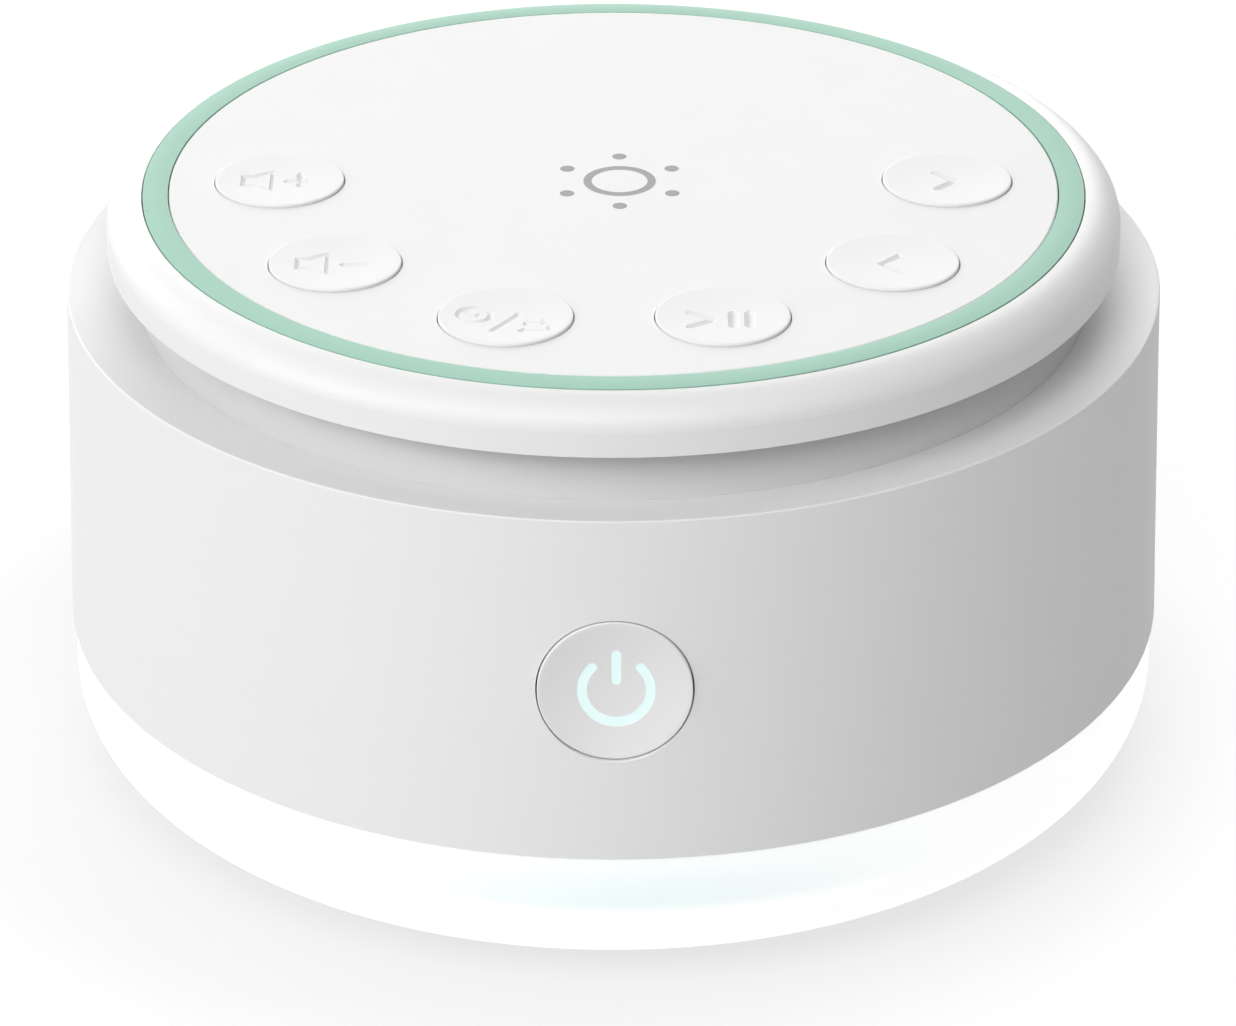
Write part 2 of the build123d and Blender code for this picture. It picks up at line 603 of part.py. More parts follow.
def main_board():
    """Main board with a rear tongue for the inlet and a front tongue to the power board."""
    low, high = MAIN_BOARD_Z
    tongue_half = 6.8
    tongue_y = (POWER_BOARD_Y[1], INLET_MOUTH_Y - 3.4)
    board = rod(MAIN_BOARD_R, low, high) + block((-tongue_half, tongue_half), tongue_y, (low, high))
    for place in around(BOARD_SCREW_R, BOARD_SCREW_ANGLES):
        board -= place * rod(SMALL_CLEAR_R, low - CUT, high + CUT)
    return board


def usb_c_socket():
    """Power inlet: a drawn metal shell with its contact tongue, on the board's rear tongue."""
    width, depth, height = INLET_SIZE
    sheet, tongue_half, tongue_t, back_t = 0.3, 3.3, 0.7, 1.0
    mouth = Plane.XZ.offset(-INLET_MOUTH_Y) * Pos(0, INLET_Z)
    shell = extrude(mouth * RectangleRounded(width, height, INLET_CORNER), depth)
    hollow = RectangleRounded(width - 2 * sheet, height - 2 * sheet, INLET_CORNER - sheet)
    shell -= extrude(mouth * hollow, depth - back_t)
    tongue_y = (INLET_MOUTH_Y - depth + back_t / 2, INLET_MOUTH_Y - 0.8)
    tongue_z = (INLET_Z - tongue_t / 2, INLET_Z + tongue_t / 2)
    return shell + block((-tongue_half, tongue_half), tongue_y, tongue_z)


def chip(size, x, y, turn):
    """A flat chip on the main board."""
    body = Pos(x, y, MAIN_BOARD_Z[1]) * Rot(0, 0, turn) * Box(size, size, 0.9, align=BOTTOM)
    return chamfer(body.edges().group_by(Axis.Z)[-1], 0.15)


def controller_chip():
    """Controller in front of the speaker's magnet."""
    return chip(7.0, 16.0, -22.0, 45)


def amplifier_chip():
    """Class D amplifier on the other side."""
    return chip(5.0, -16.0, -22.0, 0)


def filter_capacitors():
    """Three electrolytic cans beside the magnet."""
    can = rod(3.15, MAIN_BOARD_Z[1], 30.4)
    can = chamfer(can.edges().group_by(Axis.Z)[-1], 0.4)
    return copies([Pos(x, y, 0) for x, y in ((25.0, -9.0), (27.6, -1.7), (26.6, 5.6))], can)


def board_connectors():
    """Headers of the main board: down to the light board, across to the power board, up to the speaker leads."""
    low, high = MAIN_BOARD_Z
    header_half, header_depth, header_h, socket_half = 5.2, 4.6, 2.5, 3.0
    back = POWER_BOARD_Y[1]
    return Compound([
        block(LED_PLUG_X, (-LED_PLUG_HALF, LED_PLUG_HALF), (LED_BOARD_Z[1], low)),
        block((-header_half, header_half), (back, back + header_depth), (high, high + header_h)),
        block(SOCKET_X, (-socket_half, socket_half), (high, SOCKET_TOP)),
    ])


def main_board_screws():
    """Screws down through the main board into the chassis."""
    piece = screw(SMALL_SHANK_R, (2.1, 1.1), 4.5, MAIN_BOARD_Z[1], up=False)
    return copies(around(BOARD_SCREW_R, BOARD_SCREW_ANGLES), piece)


def chassis_screws():
    """Screws from inside the chassis towers up into the collar's legs; they clamp the body."""
    return copies(around(TOWER_R, QUARTERS), screw(LARGE_SHANK_R, CHASSIS_HEAD, 13.0, CHASSIS_HEAD_Z))


def base_screws():
    """Screws hidden under the feet, up into the chassis posts."""
    return copies(around(BASE_SCREW_R, QUARTERS), screw(LARGE_SHANK_R, BASE_HEAD, 9.5, BASE_HEAD_Z))


def power_board():
    """Upright board behind the power button, held in the chassis grooves."""
    return block((-POWER_BOARD_HALF, POWER_BOARD_HALF), POWER_BOARD_Y, (FLOOR_Z[1], POWER_BOARD_TOP))


def power_switch():
    """Body of the power switch, open at the front for its plunger."""
    depth = PLUNGER_LENGTH - PLUNGER_STAND + POWER_TRAVEL + 0.1
    return facing_front(tact_switch(POWER_SWITCH_H, depth), POWER_BOARD_Y[0])


def power_leds():
    """Two small LEDs that light the symbol."""
    led = Box(1.6, 2.0, 0.7, align=BOTTOM)
    return copies([facing_front(Pos(x, 0, 0), POWER_BOARD_Y[0]) for x in (-4.6, 4.6)], led)


# ---- Light board ---------------------------------------------------------------------------------
def led_board():
    """Ring board under the chassis, facing down into the bowl."""
    board = tube(*LED_BOARD_R, *LED_BOARD_Z)
    for place in around(LED_PITCH_R, LED_SCREW_ANGLES):
        board -= place * rod(SMALL_CLEAR_R, LED_BOARD_Z[0] - CUT, LED_BOARD_Z[1] + CUT)
    return board


def ring_leds():
    """Twelve square LEDs under the ring board."""
    size, height = LED_SIZE
    led = Box(size, size, height, align=BOTTOM)
    places = around(LED_PITCH_R, steps(LED_COUNT, 0.5))
    return copies([place * Pos(0, 0, LED_BOARD_Z[0] - height) for place in places], led)


def led_board_screws():
    """Short screws that hold the ring board to the chassis."""
    return copies(around(LED_PITCH_R, LED_SCREW_ANGLES), screw(SMALL_SHANK_R, (1.9, 1.0), 2.6, LED_BOARD_Z[0]))


# ---- Speaker -------------------------------------------------------------------------------------
def speaker_frame():
    """Pressed basket: flange, six-windowed cone, seat on the front plate, ledge for the spider."""
    top, flange_low = BASKET_TOP, BASKET_TOP - BASKET_FLANGE_T
    seat, sheet = FRONT_PLATE_Z[1], 0.8
    ledge_in, ledge_out = SPIDER_R[0], SPIDER_R[1] + 0.1
    frame = turned(
        (BASKET_IN_R, top), (BASKET_IN_R, flange_low - 0.2), (ledge_out + 0.1, seat + sheet), (ledge_out, SPIDER_Z),
        (ledge_in, SPIDER_Z), (ledge_in, seat + sheet), (9.5, seat + sheet), (9.5, seat), (MAGNET_R[1], seat),
        (BASKET_IN_R + 1.1, flange_low), (BASKET_R, flange_low), (BASKET_R, top),
    )
    window = block((MAGNET_R[1] - 0.2, BASKET_R), (-4.0, 4.0), (seat + 2.4, flange_low - sheet))
    for place in around(0, steps(6, 0.5)):
        frame -= place * window
    for place in around(SPEAKER_SCREW_R, QUARTERS):
        frame -= place * rod(SMALL_CLEAR_R, flange_low - CUT, top + CUT)
    return frame


def speaker_yoke():
    """Back plate with the pole that carries the flux into the coil."""
    return rod(YOKE_R, *YOKE_Z) + rod(POLE_R, YOKE_Z[0], FRONT_PLATE_Z[1])


def speaker_magnet():
    """Ferrite ring between the yoke and the front plate."""
    return tube(*MAGNET_R, YOKE_Z[1], FRONT_PLATE_Z[0])


def speaker_front_plate():
    """Steel washer around the coil gap."""
    return tube(*FRONT_PLATE_R, *FRONT_PLATE_Z)


def speaker_voice_coil():
    """Coil former with its winding; it moves with the cone."""
    inner, former, winding = COIL_R
    low, wound, unwound = COIL_Z
    return turned(
        (inner, low), (former, low), (former, wound), (winding, wound), (winding, unwound), (former, unwound),
        (former, CONE_NECK[1]), (inner, CONE_NECK[1]),
    )


def speaker_spider():
    """Corrugated damper between the coil former and the basket's ledge."""
    inner, thick, waves, height = COIL_R[1] + 0.02, 0.3, 4, 0.5
    step = (SPIDER_R[0] - inner) / (2 * waves)
    lower = [(inner + step * n, SPIDER_Z + (height if n % 2 else 0)) for n in range(2 * waves + 1)]
    lower.append((SPIDER_R[1], SPIDER_Z))
    upper = [(r, z + thick) for r, z in reversed(lower)]
    return turned(*lower, *upper)


def speaker_cone():
    """Paper cone from the coil former to the surround."""
    (neck_r, neck_z), rim_r, rim_z = CONE_NECK, CONE_RIM_R, BASKET_TOP
    hole_r, neck_top = COIL_R[0], neck_z + CONE_T + 0.2
    return turned(
        (hole_r, neck_z), (neck_r + 0.6, neck_z), (rim_r - 0.4, rim_z - CONE_T), (rim_r, rim_z - CONE_T),
        (rim_r, rim_z), (rim_r - 0.8, rim_z), (neck_r, neck_top), (hole_r, neck_top),
    )


def speaker_dust_cap():
    """Dome over the coil, standing on the cone."""
    low = CONE_NECK[1] + CONE_T + 0.55
    outer_r, height, thick = 7.6, 2.2, 0.4
    curve = crown(outer_r, low, height) + crown(outer_r - thick, low, height - thick)
    curve += Line((0, low + height), (0, low + height - thick))
    curve += Line((outer_r - thick, low), (outer_r, low))
    return turned_curve(curve)


def speaker_surround():
    """Half-roll rubber surround between the cone's rim and the flange."""
    low, high = BASKET_TOP, BASKET_TOP + SURROUND_T
    lip_in, lip_out = CONE_RIM_R - 0.7, BASKET_IN_R + 1.1
    outer = sqrt((ROLL_R + SURROUND_T) ** 2 - SURROUND_T**2)
    curve = Polyline((ROLL_CENTRE_R + ROLL_R, low), (lip_out, low), (lip_out, high), (ROLL_CENTRE_R + outer, high))
    curve += ThreePointArc(
        (ROLL_CENTRE_R + outer, high), (ROLL_CENTRE_R, high + ROLL_R), (ROLL_CENTRE_R - outer, high)
    )
    curve += Polyline((ROLL_CENTRE_R - outer, high), (lip_in, high), (lip_in, low), (ROLL_CENTRE_R - ROLL_R, low))
    curve += ThreePointArc(
        (ROLL_CENTRE_R - ROLL_R, low), (ROLL_CENTRE_R, low + ROLL_R), (ROLL_CENTRE_R + ROLL_R, low)
    )
    return turned_curve(curve)


def speaker_gasket():
    """Foam gasket between the flange and the collar's floor."""
    gasket = tube(BASKET_IN_R + 1.3, BASKET_R - 0.2, BASKET_TOP, BAFFLE_Z[0])
    for place in around(SPEAKER_SCREW_R, QUARTERS):
        gasket -= place * rod(SMALL_CLEAR_R, BASKET_TOP - CUT, BAFFLE_Z[0] + CUT)
    return gasket


def speaker_screws():
    """Screws up through the flange into the collar's floor."""
    piece = screw(SMALL_SHANK_R, (2.0, 1.2), 4.5, BASKET_TOP - BASKET_FLANGE_T)
    return copies(around(SPEAKER_SCREW_R, QUARTERS), piece)


def speaker_leads():
    """Two insulated leads from the basket down to the socket on the main board."""
    wire_r, bend_r, exit_z = 0.55, 2.2, 38.6
    down_x = sum(SOCKET_X) / 2
    leads = []
    for y in (-1.0, 1.0):
        start = (-21.6, y, exit_z)
        route = (start, (down_x + 4.4, y, exit_z), (down_x, y, exit_z - 4.1), (down_x, y, SOCKET_TOP))
        path = FilletPolyline(*route, radius=bend_r)
        leads.append(sweep(Plane(start, z_dir=(-1, 0, 0)) * Circle(wire_r), path=path))
    return Compound(leads)


PIECES = (
    body_shell, diffuser_bowl, base_plate, rubber_feet, base_screws,
    sound_collar, acoustic_mesh, cap_shell, accent_ring, top_panel, cap_screws,
    power_button, power_symbol_lens, power_plunger,
    button_board, button_board_screws, button_switches, touch_pad, ribbon_sockets, ribbon_cable,
    chassis, chassis_screws, main_board, main_board_screws, usb_c_socket,
    controller_chip, amplifier_chip, filter_capacitors, board_connectors,
    power_board, power_switch, power_leds, led_board, ring_leds, led_board_screws,
    speaker_frame, speaker_yoke, speaker_magnet, speaker_front_plate, speaker_voice_coil, speaker_spider,
    speaker_cone, speaker_dust_cap, speaker_surround, speaker_gasket, speaker_screws, speaker_leads,
)


def main():
    """Build every piece and write it to parts/ under its own name."""
    os.makedirs("parts", exist_ok=True)
    for build in PIECES:
        export_step(build(), f"parts/{build.__name__}.step")
    for name, angle in BUTTON_ANGLES.items():
        export_step(top_button(angle), f"parts/{name}_button.step")
        export_step(top_plunger(angle), f"parts/{name}_plunger.step")


main()
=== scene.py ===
"""White noise sound machine: finishes, engraved keys, lit front key, printed touch mark, studio and camera.

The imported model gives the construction. This script dresses its nodes. It replaces the six top keys, the front key
with its lit symbol, and the two rings of the speaker that bend, and it adds the printed mark and the inlet's contacts.
A plain studio stands around them. Sizes in the classes are millimetres, and meshes are metres. +Z is up and the front
is towards -Y.
"""
from __future__ import annotations

import json
import logging
import math
from dataclasses import dataclass
from enum import Enum
from typing import Callable

import bmesh
import bpy
from mathutils import Matrix, Vector

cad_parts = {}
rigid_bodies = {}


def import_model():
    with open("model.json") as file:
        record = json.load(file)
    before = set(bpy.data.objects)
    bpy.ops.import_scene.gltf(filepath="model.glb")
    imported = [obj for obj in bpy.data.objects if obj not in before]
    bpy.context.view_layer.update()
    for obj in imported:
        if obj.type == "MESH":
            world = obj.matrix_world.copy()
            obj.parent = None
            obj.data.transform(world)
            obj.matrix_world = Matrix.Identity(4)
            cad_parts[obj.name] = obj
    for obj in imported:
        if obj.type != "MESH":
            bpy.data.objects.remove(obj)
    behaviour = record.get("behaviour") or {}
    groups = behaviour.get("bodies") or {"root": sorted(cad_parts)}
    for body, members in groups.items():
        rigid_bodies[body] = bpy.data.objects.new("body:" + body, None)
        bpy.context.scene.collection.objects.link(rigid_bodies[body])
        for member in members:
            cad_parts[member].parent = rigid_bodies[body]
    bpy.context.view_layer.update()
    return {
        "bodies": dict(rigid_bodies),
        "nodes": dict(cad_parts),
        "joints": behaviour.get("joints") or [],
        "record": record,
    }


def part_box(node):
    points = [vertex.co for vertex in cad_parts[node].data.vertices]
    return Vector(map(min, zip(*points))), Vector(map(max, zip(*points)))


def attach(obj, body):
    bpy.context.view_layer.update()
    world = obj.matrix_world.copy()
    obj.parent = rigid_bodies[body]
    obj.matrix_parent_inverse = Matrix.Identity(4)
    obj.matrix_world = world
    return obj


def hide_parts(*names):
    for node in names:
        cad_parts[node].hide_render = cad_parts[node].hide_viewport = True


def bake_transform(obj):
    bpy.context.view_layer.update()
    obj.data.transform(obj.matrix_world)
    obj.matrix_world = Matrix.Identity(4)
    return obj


MM = 0.001
WELD_GAP = MM * 1e-4
SHARP_ANGLE = math.radians(30.0)
LOG = logging.getLogger("sound_machine")

Colour = tuple[float, float, float]
Point2 = tuple[float, float]
Point3 = tuple[float, float, float]
Height = Callable[[float, float], float]
Node = bpy.types.Node
Piece = bpy.types.Object
Shape = bmesh.types.BMesh
Socket = bpy.types.NodeSocket


# ---- Node trees ----
class Wiring:
    """Adds nodes to one node tree and joins their sockets."""

    # Numbers of the Mix node's factor and two colours, and of its mixed colour.
    MIX_INPUTS: tuple[int, int, int] = (0, 6, 7)
    MIX_RESULT: int = 2

    def __init__(self, tree: bpy.types.NodeTree) -> None:
        """Keep the tree that nodes are added to."""
        self.tree = tree

    def add(self, kind: str, sockets: dict | None = None, **settings: object) -> Node:
        """Add one node.

        Args:
            kind: Blender's name of the node type.
            sockets: values or output sockets for the node's inputs, by name or number.
            settings: the node's own properties.

        Returns:
            The new node.
        """
        node = self.tree.nodes.new(kind)
        for name, value in settings.items():
            setattr(node, name, value)
        self.feed(node, sockets or {})
        return node

    def feed(self, node: Node, sockets: dict) -> None:
        """Link outputs to a node's inputs, or set the inputs' own values.

        Args:
            node: the node to feed.
            sockets: an output socket or a plain value for each input, by name or number.
        """
        for key, value in sockets.items():
            socket = node.inputs[key]
            if isinstance(value, Socket):
                self.tree.links.new(value, socket)
            elif socket.type == "RGBA":
                socket.default_value = (*value[:3], 1.0)
            else:
                socket.default_value = value

    def math(self, operation: str, *values: object) -> Socket:
        """Result of a Math node with one to three inputs."""
        return self.add("ShaderNodeMath", dict(enumerate(values)), operation=operation).outputs[0]

    def mix(self, *values: object) -> Socket:
        """Mix of two colours: the factor, which is the second colour's share, and the two colours."""
        node = self.add("ShaderNodeMix", dict(zip(self.MIX_INPUTS, values)), data_type="RGBA")
        return node.outputs[self.MIX_RESULT]

    def step(self, value: object, low: object, high: object) -> Socket:
        """Mask that rises smoothly from 0 where the value is low to 1 where it is high."""
        sockets = {"Value": value, "From Min": low, "From Max": high}
        return self.add("ShaderNodeMapRange", sockets, interpolation_type="SMOOTHSTEP").outputs[0]

    def noise(self, vector: Socket, scale: object, detail: float, roughness: float = 0.5) -> Socket:
        """Noise between 0 and 1, with its scale in waves per metre."""
        sockets = {"Vector": vector, "Scale": scale, "Detail": detail, "Roughness": roughness}
        return self.add("ShaderNodeTexNoise", sockets).outputs["Fac"]

    def wave(self, distance: Socket, pitch: Socket) -> Socket:
        """Sine of a distance that repeats once over every pitch."""
        return self.math("SINE", self.math("DIVIDE", self.math("MULTIPLY", distance, math.tau), pitch))

    def relief(self, height: Socket, depth_mm: float) -> Socket:
        """Normal of a height field from 0 to 1, whose full step is this deep."""
        sockets = {"Height": height, "Distance": depth_mm * MM, "Strength": 1.0}
        return self.add("ShaderNodeBump", sockets).outputs["Normal"]

    def axes(self, vector: Socket) -> list[Socket]:
        """The X, Y and Z of a vector."""
        return list(self.add("ShaderNodeSeparateXYZ", {"Vector": vector}).outputs)

    def object_coordinates(self) -> Socket:
        """Object coordinates, in metres in the machine's own frame."""
        return self.add("ShaderNodeTexCoord").outputs["Object"]


class EffectKit:
    """Shader node groups that several finishes share, each built once."""

    FLOW_SCALE: float = 38.0
    CLOUD_SCALE: float = 210.0
    STAIN_SCALE: float = 160.0
    TRACKS_PER_CELL: float = 5.0
    TRACK_EDGE: Point2 = (0.28, 0.34)
    THREAD_EDGE: Point2 = (0.5, 0.8)
    STAIN_EDGE: Point2 = (0.45, 0.75)

    def __init__(self) -> None:
        """Start with no groups built."""
        self._built: dict[str, bpy.types.NodeTree] = {}

    def group(self, effect: str) -> bpy.types.NodeTree:
        """The node group of an effect, named as the method that builds it."""
        if effect not in self._built:
            self._built[effect] = getattr(self, effect)()
        return self._built[effect]

    @staticmethod
    def _group(
        name: str, colours: tuple[str, ...], values: tuple[str, ...], results: tuple[str, ...] = ("Height",),
    ) -> tuple[Wiring, dict, Node]:
        """Start a node group that takes a Vector and puts out a Colour.

        Args:
            name: name of the group.
            colours: its colour inputs.
            values: its inputs that are plain numbers.
            results: what it puts out besides the Colour.

        Returns:
            The group's wiring, its input sockets by name, and its output node.
        """
        tree = bpy.data.node_groups.new(name, "ShaderNodeTree")
        for side, kind, titles in (
            ("INPUT", "Vector", ("Vector",)), ("INPUT", "Color", colours), ("INPUT", "Float", values),
            ("OUTPUT", "Color", ("Colour",)), ("OUTPUT", "Float", results),
        ):
            for title in titles:
                tree.interface.new_socket(title, in_out=side, socket_type=f"NodeSocket{kind}")
        wiring = Wiring(tree)
        given = wiring.add("NodeGroupInput").outputs
        return wiring, {title: given[title] for title in ("Vector", *colours, *values)}, wiring.add("NodeGroupOutput")

    def moulded_skin(self) -> bpy.types.NodeTree:
        """Fine spark-eroded grain of a moulding, with slow drift in tone and gloss."""
        wiring, given, end = self._group(
            "moulded_skin", ("Colour",), ("Drift", "Roughness", "Gloss Drift", "Grain Scale"), ("Roughness", "Height"),
        )
        place = given["Vector"]
        shade = wiring.math("MULTIPLY", wiring.noise(place, self.FLOW_SCALE, 2.0), given["Drift"])
        value = wiring.math("SUBTRACT", 1.0, shade)
        tint = wiring.add("ShaderNodeHueSaturation", {"Value": value, "Color": given["Colour"]})
        centred = wiring.math("SUBTRACT", wiring.noise(place, self.CLOUD_SCALE, 3.0), 0.5)
        wiring.feed(end, {
            "Colour": tint.outputs["Color"],
            "Roughness": wiring.math("MULTIPLY_ADD", centred, given["Gloss Drift"], given["Roughness"]),
            "Height": wiring.noise(place, given["Grain Scale"], 2.0, 0.6),
        })
        return wiring.tree

    def lamp_glow_painted_shade(self) -> bpy.types.NodeTree:
        """Light through the frosted bowl: even white, with a painted shade, a cooler and dimmer soft band, round the
        front.
        """
        wiring, given, end = self._group(
            "lamp_glow_painted_shade", ("Bright", "Painted Shade"), ("Low", "Middle", "High", "Bearing", "Reach"), (),
        )
        x, y, z = wiring.axes(given["Vector"])
        rise = wiring.step(z, given["Low"], given["Middle"])
        fall = wiring.math("SUBTRACT", 1.0, wiring.step(z, given["Middle"], given["High"]))
        # Painted shade: the band is dimmed only within reach of the front bearing, not by the lamp inside.
        bearing = wiring.math("SUBTRACT", wiring.math("ARCTAN2", y, x), given["Bearing"])
        aside = wiring.step(wiring.math("ABSOLUTE", bearing), 0.0, given["Reach"])
        shaded_front = wiring.math("SUBTRACT", 1.0, aside)
        mask = wiring.math("MULTIPLY", wiring.math("MULTIPLY", rise, fall), shaded_front)
        wiring.feed(end, {"Colour": wiring.mix(mask, given["Bright"], given["Painted Shade"])})
        return wiring.tree

    def fine_weave(self) -> bpy.types.NodeTree:
        """Square weave wrapped round the machine's axis: threads over and under in both directions."""
        wiring, given, end = self._group("fine_weave", ("Thread", "Gap"), ("Radius", "Pitch"))
        x, y, z = wiring.axes(given["Vector"])
        along = wiring.math("MULTIPLY", wiring.math("ARCTAN2", y, x), given["Radius"])
        waves = [wiring.math("ABSOLUTE", wiring.wave(distance, given["Pitch"])) for distance in (along, z)]
        height = wiring.math("MAXIMUM", *waves)
        thread = wiring.step(height, *self.THREAD_EDGE)
        wiring.feed(end, {"Colour": wiring.mix(thread, given["Gap"], given["Thread"]), "Height": height})
        return wiring.tree

    def board_tracks(self) -> bpy.types.NodeTree:
        """Copper tracks and vias under solder mask."""
        wiring, given, end = self._group("board_tracks", ("Mask", "Track"), ("Scale",))
        cells = wiring.add(
            "ShaderNodeTexVoronoi", {"Vector": given["Vector"], "Scale": given["Scale"]},
            feature="F1", distance="MANHATTAN",
        ).outputs["Distance"]
        stripes = wiring.math("FRACT", wiring.math("MULTIPLY", cells, self.TRACKS_PER_CELL))
        track = wiring.step(wiring.math("ABSOLUTE", wiring.math("SUBTRACT", stripes, 0.5)), *self.TRACK_EDGE)
        wiring.feed(end, {"Colour": wiring.mix(track, given["Mask"], given["Track"]), "Height": track})
        return wiring.tree

    def turned_lines(self) -> bpy.types.NodeTree:
        """Fine lines that a tool leaves round the machine's axis, with a little stain."""
        wiring, given, end = self._group("turned_lines", ("Colour", "Stain"), ("Pitch",))
        x, y, z = wiring.axes(given["Vector"])
        flat = wiring.add("ShaderNodeCombineXYZ", {"X": x, "Y": y}).outputs[0]
        radius = wiring.add("ShaderNodeVectorMath", {0: flat}, operation="LENGTH").outputs["Value"]
        stain = wiring.step(wiring.noise(given["Vector"], self.STAIN_SCALE, 4.0), *self.STAIN_EDGE)
        wiring.feed(end, {
            "Colour": wiring.mix(stain, given["Colour"], given["Stain"]),
            "Height": wiring.wave(wiring.math("ADD", radius, z), given["Pitch"]),
        })
        return wiring.tree


# ---- Finishes ----
class Surface(Wiring):
    """The tree of one material, round a Principled BSDF."""

    def __init__(self, name: str) -> None:
        """Start the material with its shader and output."""
        self.material = bpy.data.materials.new(name)
        self.material.use_nodes = True
        super().__init__(self.material.node_tree)
        self.tree.nodes.clear()
        self.shader = self.add("ShaderNodeBsdfPrincipled")
        self.add("ShaderNodeOutputMaterial", {"Surface": self.shader.outputs["BSDF"]})

    def place(self, kit: EffectKit, effect: str, sockets: dict) -> bpy.types.NodeOutputs:
        """Place one effect on Object coordinates.

        Args:
            kit: the shared effects.
            effect: name of the effect.
            sockets: values for its other inputs.

        Returns:
            The group node's outputs.
        """
        sockets = {"Vector": self.object_coordinates(), **sockets}
        return self.add("ShaderNodeGroup", sockets, node_tree=kit.group(effect)).outputs

    def coat(self, sockets: dict) -> None:
        """Feed the shader's inputs, by name."""
        self.feed(self.shader, sockets)


@dataclass(frozen=True)
class Finish:
    """A named finish. Each kind wires its own material."""

    name: str

    def build(self, kit: EffectKit) -> bpy.types.Material:
        """Build the material with the shared effects."""
        surface = Surface(self.name)
        self.wire(surface, kit)
        return surface.material

    def wire(self, surface: Surface, kit: EffectKit) -> None:
        """Wire the finish to the shader."""
        raise NotImplementedError


@dataclass(frozen=True)
class MouldedPlastic(Finish):
    """Opaque moulded plastic or rubber with a fine grain."""

    colour: Colour
    roughness: float
    drift: float = 0.015
    gloss_drift: float = 0.06
    grain_mm: float = 0.22
    grain_depth_mm: float = 0.0006
    specular: float = 0.5

    def wire(self, surface: Surface, kit: EffectKit) -> None:
        """Wire the moulded skin to the shader."""
        skin = surface.place(kit, "moulded_skin", {
            "Colour": self.colour, "Drift": self.drift, "Roughness": self.roughness,
            "Gloss Drift": self.gloss_drift, "Grain Scale": 1.0 / (self.grain_mm * MM),
        })
        surface.coat({
            "Base Color": skin["Colour"], "Roughness": skin["Roughness"], "Specular IOR Level": self.specular,
            "Normal": surface.relief(skin["Height"], self.grain_depth_mm),
        })


@dataclass(frozen=True, kw_only=True)
class LitBowl(MouldedPlastic):
    """Frosted plastic lit from inside, with a painted shade: a cooler, dimmer band round its front."""

    bright: Colour
    painted_shade: Colour
    painted_shade_band_mm: Point3
    bearing_deg: float
    reach_deg: float
    spill: float

    def wire(self, surface: Surface, kit: EffectKit) -> None:
        """Wire the skin, the lamp's glow and its painted front shade to the shader."""
        super().wire(surface, kit)
        low, middle, high = (height * MM for height in self.painted_shade_band_mm)
        glow_and_painted_shade = surface.place(kit, "lamp_glow_painted_shade", {
            "Bright": self.bright, "Painted Shade": self.painted_shade, "Low": low, "Middle": middle, "High": high,
            "Bearing": math.radians(self.bearing_deg), "Reach": math.radians(self.reach_deg),
        })
        diffuse = surface.add("ShaderNodeLightPath").outputs["Is Diffuse Ray"]
        held_back = surface.math("MULTIPLY", diffuse, 1.0 - self.spill)
        surface.coat({"Emission Color": surface.mix(held_back, glow_and_painted_shade["Colour"], grey(0.0)), "Emission Strength": 1.0})


@dataclass(frozen=True, kw_only=True)
class LitSymbol(MouldedPlastic):
    """Clear insert over an LED, a little uneven in its brightness."""

    glow: Colour
    hot: Colour
    spot_scale: float = 700.0

    def wire(self, surface: Surface, kit: EffectKit) -> None:
        """Wire the skin and the glow to the shader."""
        super().wire(surface, kit)
        spots = surface.noise(surface.object_coordinates(), self.spot_scale, 1.0)
        surface.coat({"Emission Color": surface.mix(spots, self.glow, self.hot), "Emission Strength": 1.0})


@dataclass(frozen=True)
class Metal(Finish):
    """Plated or drawn metal with fine lines round its axis."""

    colour: Colour
    stain: Colour
    roughness: float
    pitch_mm: float = 0.12
    line_depth_mm: float = 0.001

    def wire(self, surface: Surface, kit: EffectKit) -> None:
        """Wire the turned lines to the shader."""
        sockets = {"Colour": self.colour, "Stain": self.stain, "Pitch": self.pitch_mm * MM}
        lines = surface.place(kit, "turned_lines", sockets)
        surface.coat({
            "Base Color": lines["Colour"], "Metallic": 1.0, "Roughness": self.roughness,
            "Normal": surface.relief(lines["Height"], self.line_depth_mm),
        })


@dataclass(frozen=True)
class CircuitBoard(Finish):
    """Glass-fibre board with tracks under solder mask."""

    mask: Colour
    track: Colour
    cell_mm: float = 6.0
    roughness: float = 0.3
    track_depth_mm: float = 0.01

    def wire(self, surface: Surface, kit: EffectKit) -> None:
        """Wire the tracks to the shader."""
        sockets = {"Mask": self.mask, "Track": self.track, "Scale": 1.0 / (self.cell_mm * MM)}
        tracks = surface.place(kit, "board_tracks", sockets)
        surface.coat({
            "Base Color": tracks["Colour"], "Roughness": self.roughness,
            "Normal": surface.relief(tracks["Height"], self.track_depth_mm),
        })


@dataclass(frozen=True)
class Weave(Finish):
    """Fine cloth wrapped round the axis."""

    thread: Colour
    gap: Colour
    radius_mm: float
    pitch_mm: float = 0.5
    roughness: float = 0.85
    thread_depth_mm: float = 0.05

    def wire(self, surface: Surface, kit: EffectKit) -> None:
        """Wire the cloth to the shader."""
        cloth = surface.place(kit, "fine_weave", {
            "Radius": self.radius_mm * MM, "Pitch": self.pitch_mm * MM, "Thread": self.thread, "Gap": self.gap,
        })
        surface.coat({
            "Base Color": cloth["Colour"], "Roughness": self.roughness,
            "Normal": surface.relief(cloth["Height"], self.thread_depth_mm),
        })


def grey(level: float) -> Colour:
    """The neutral colour of one level."""
    return (level, level, level)


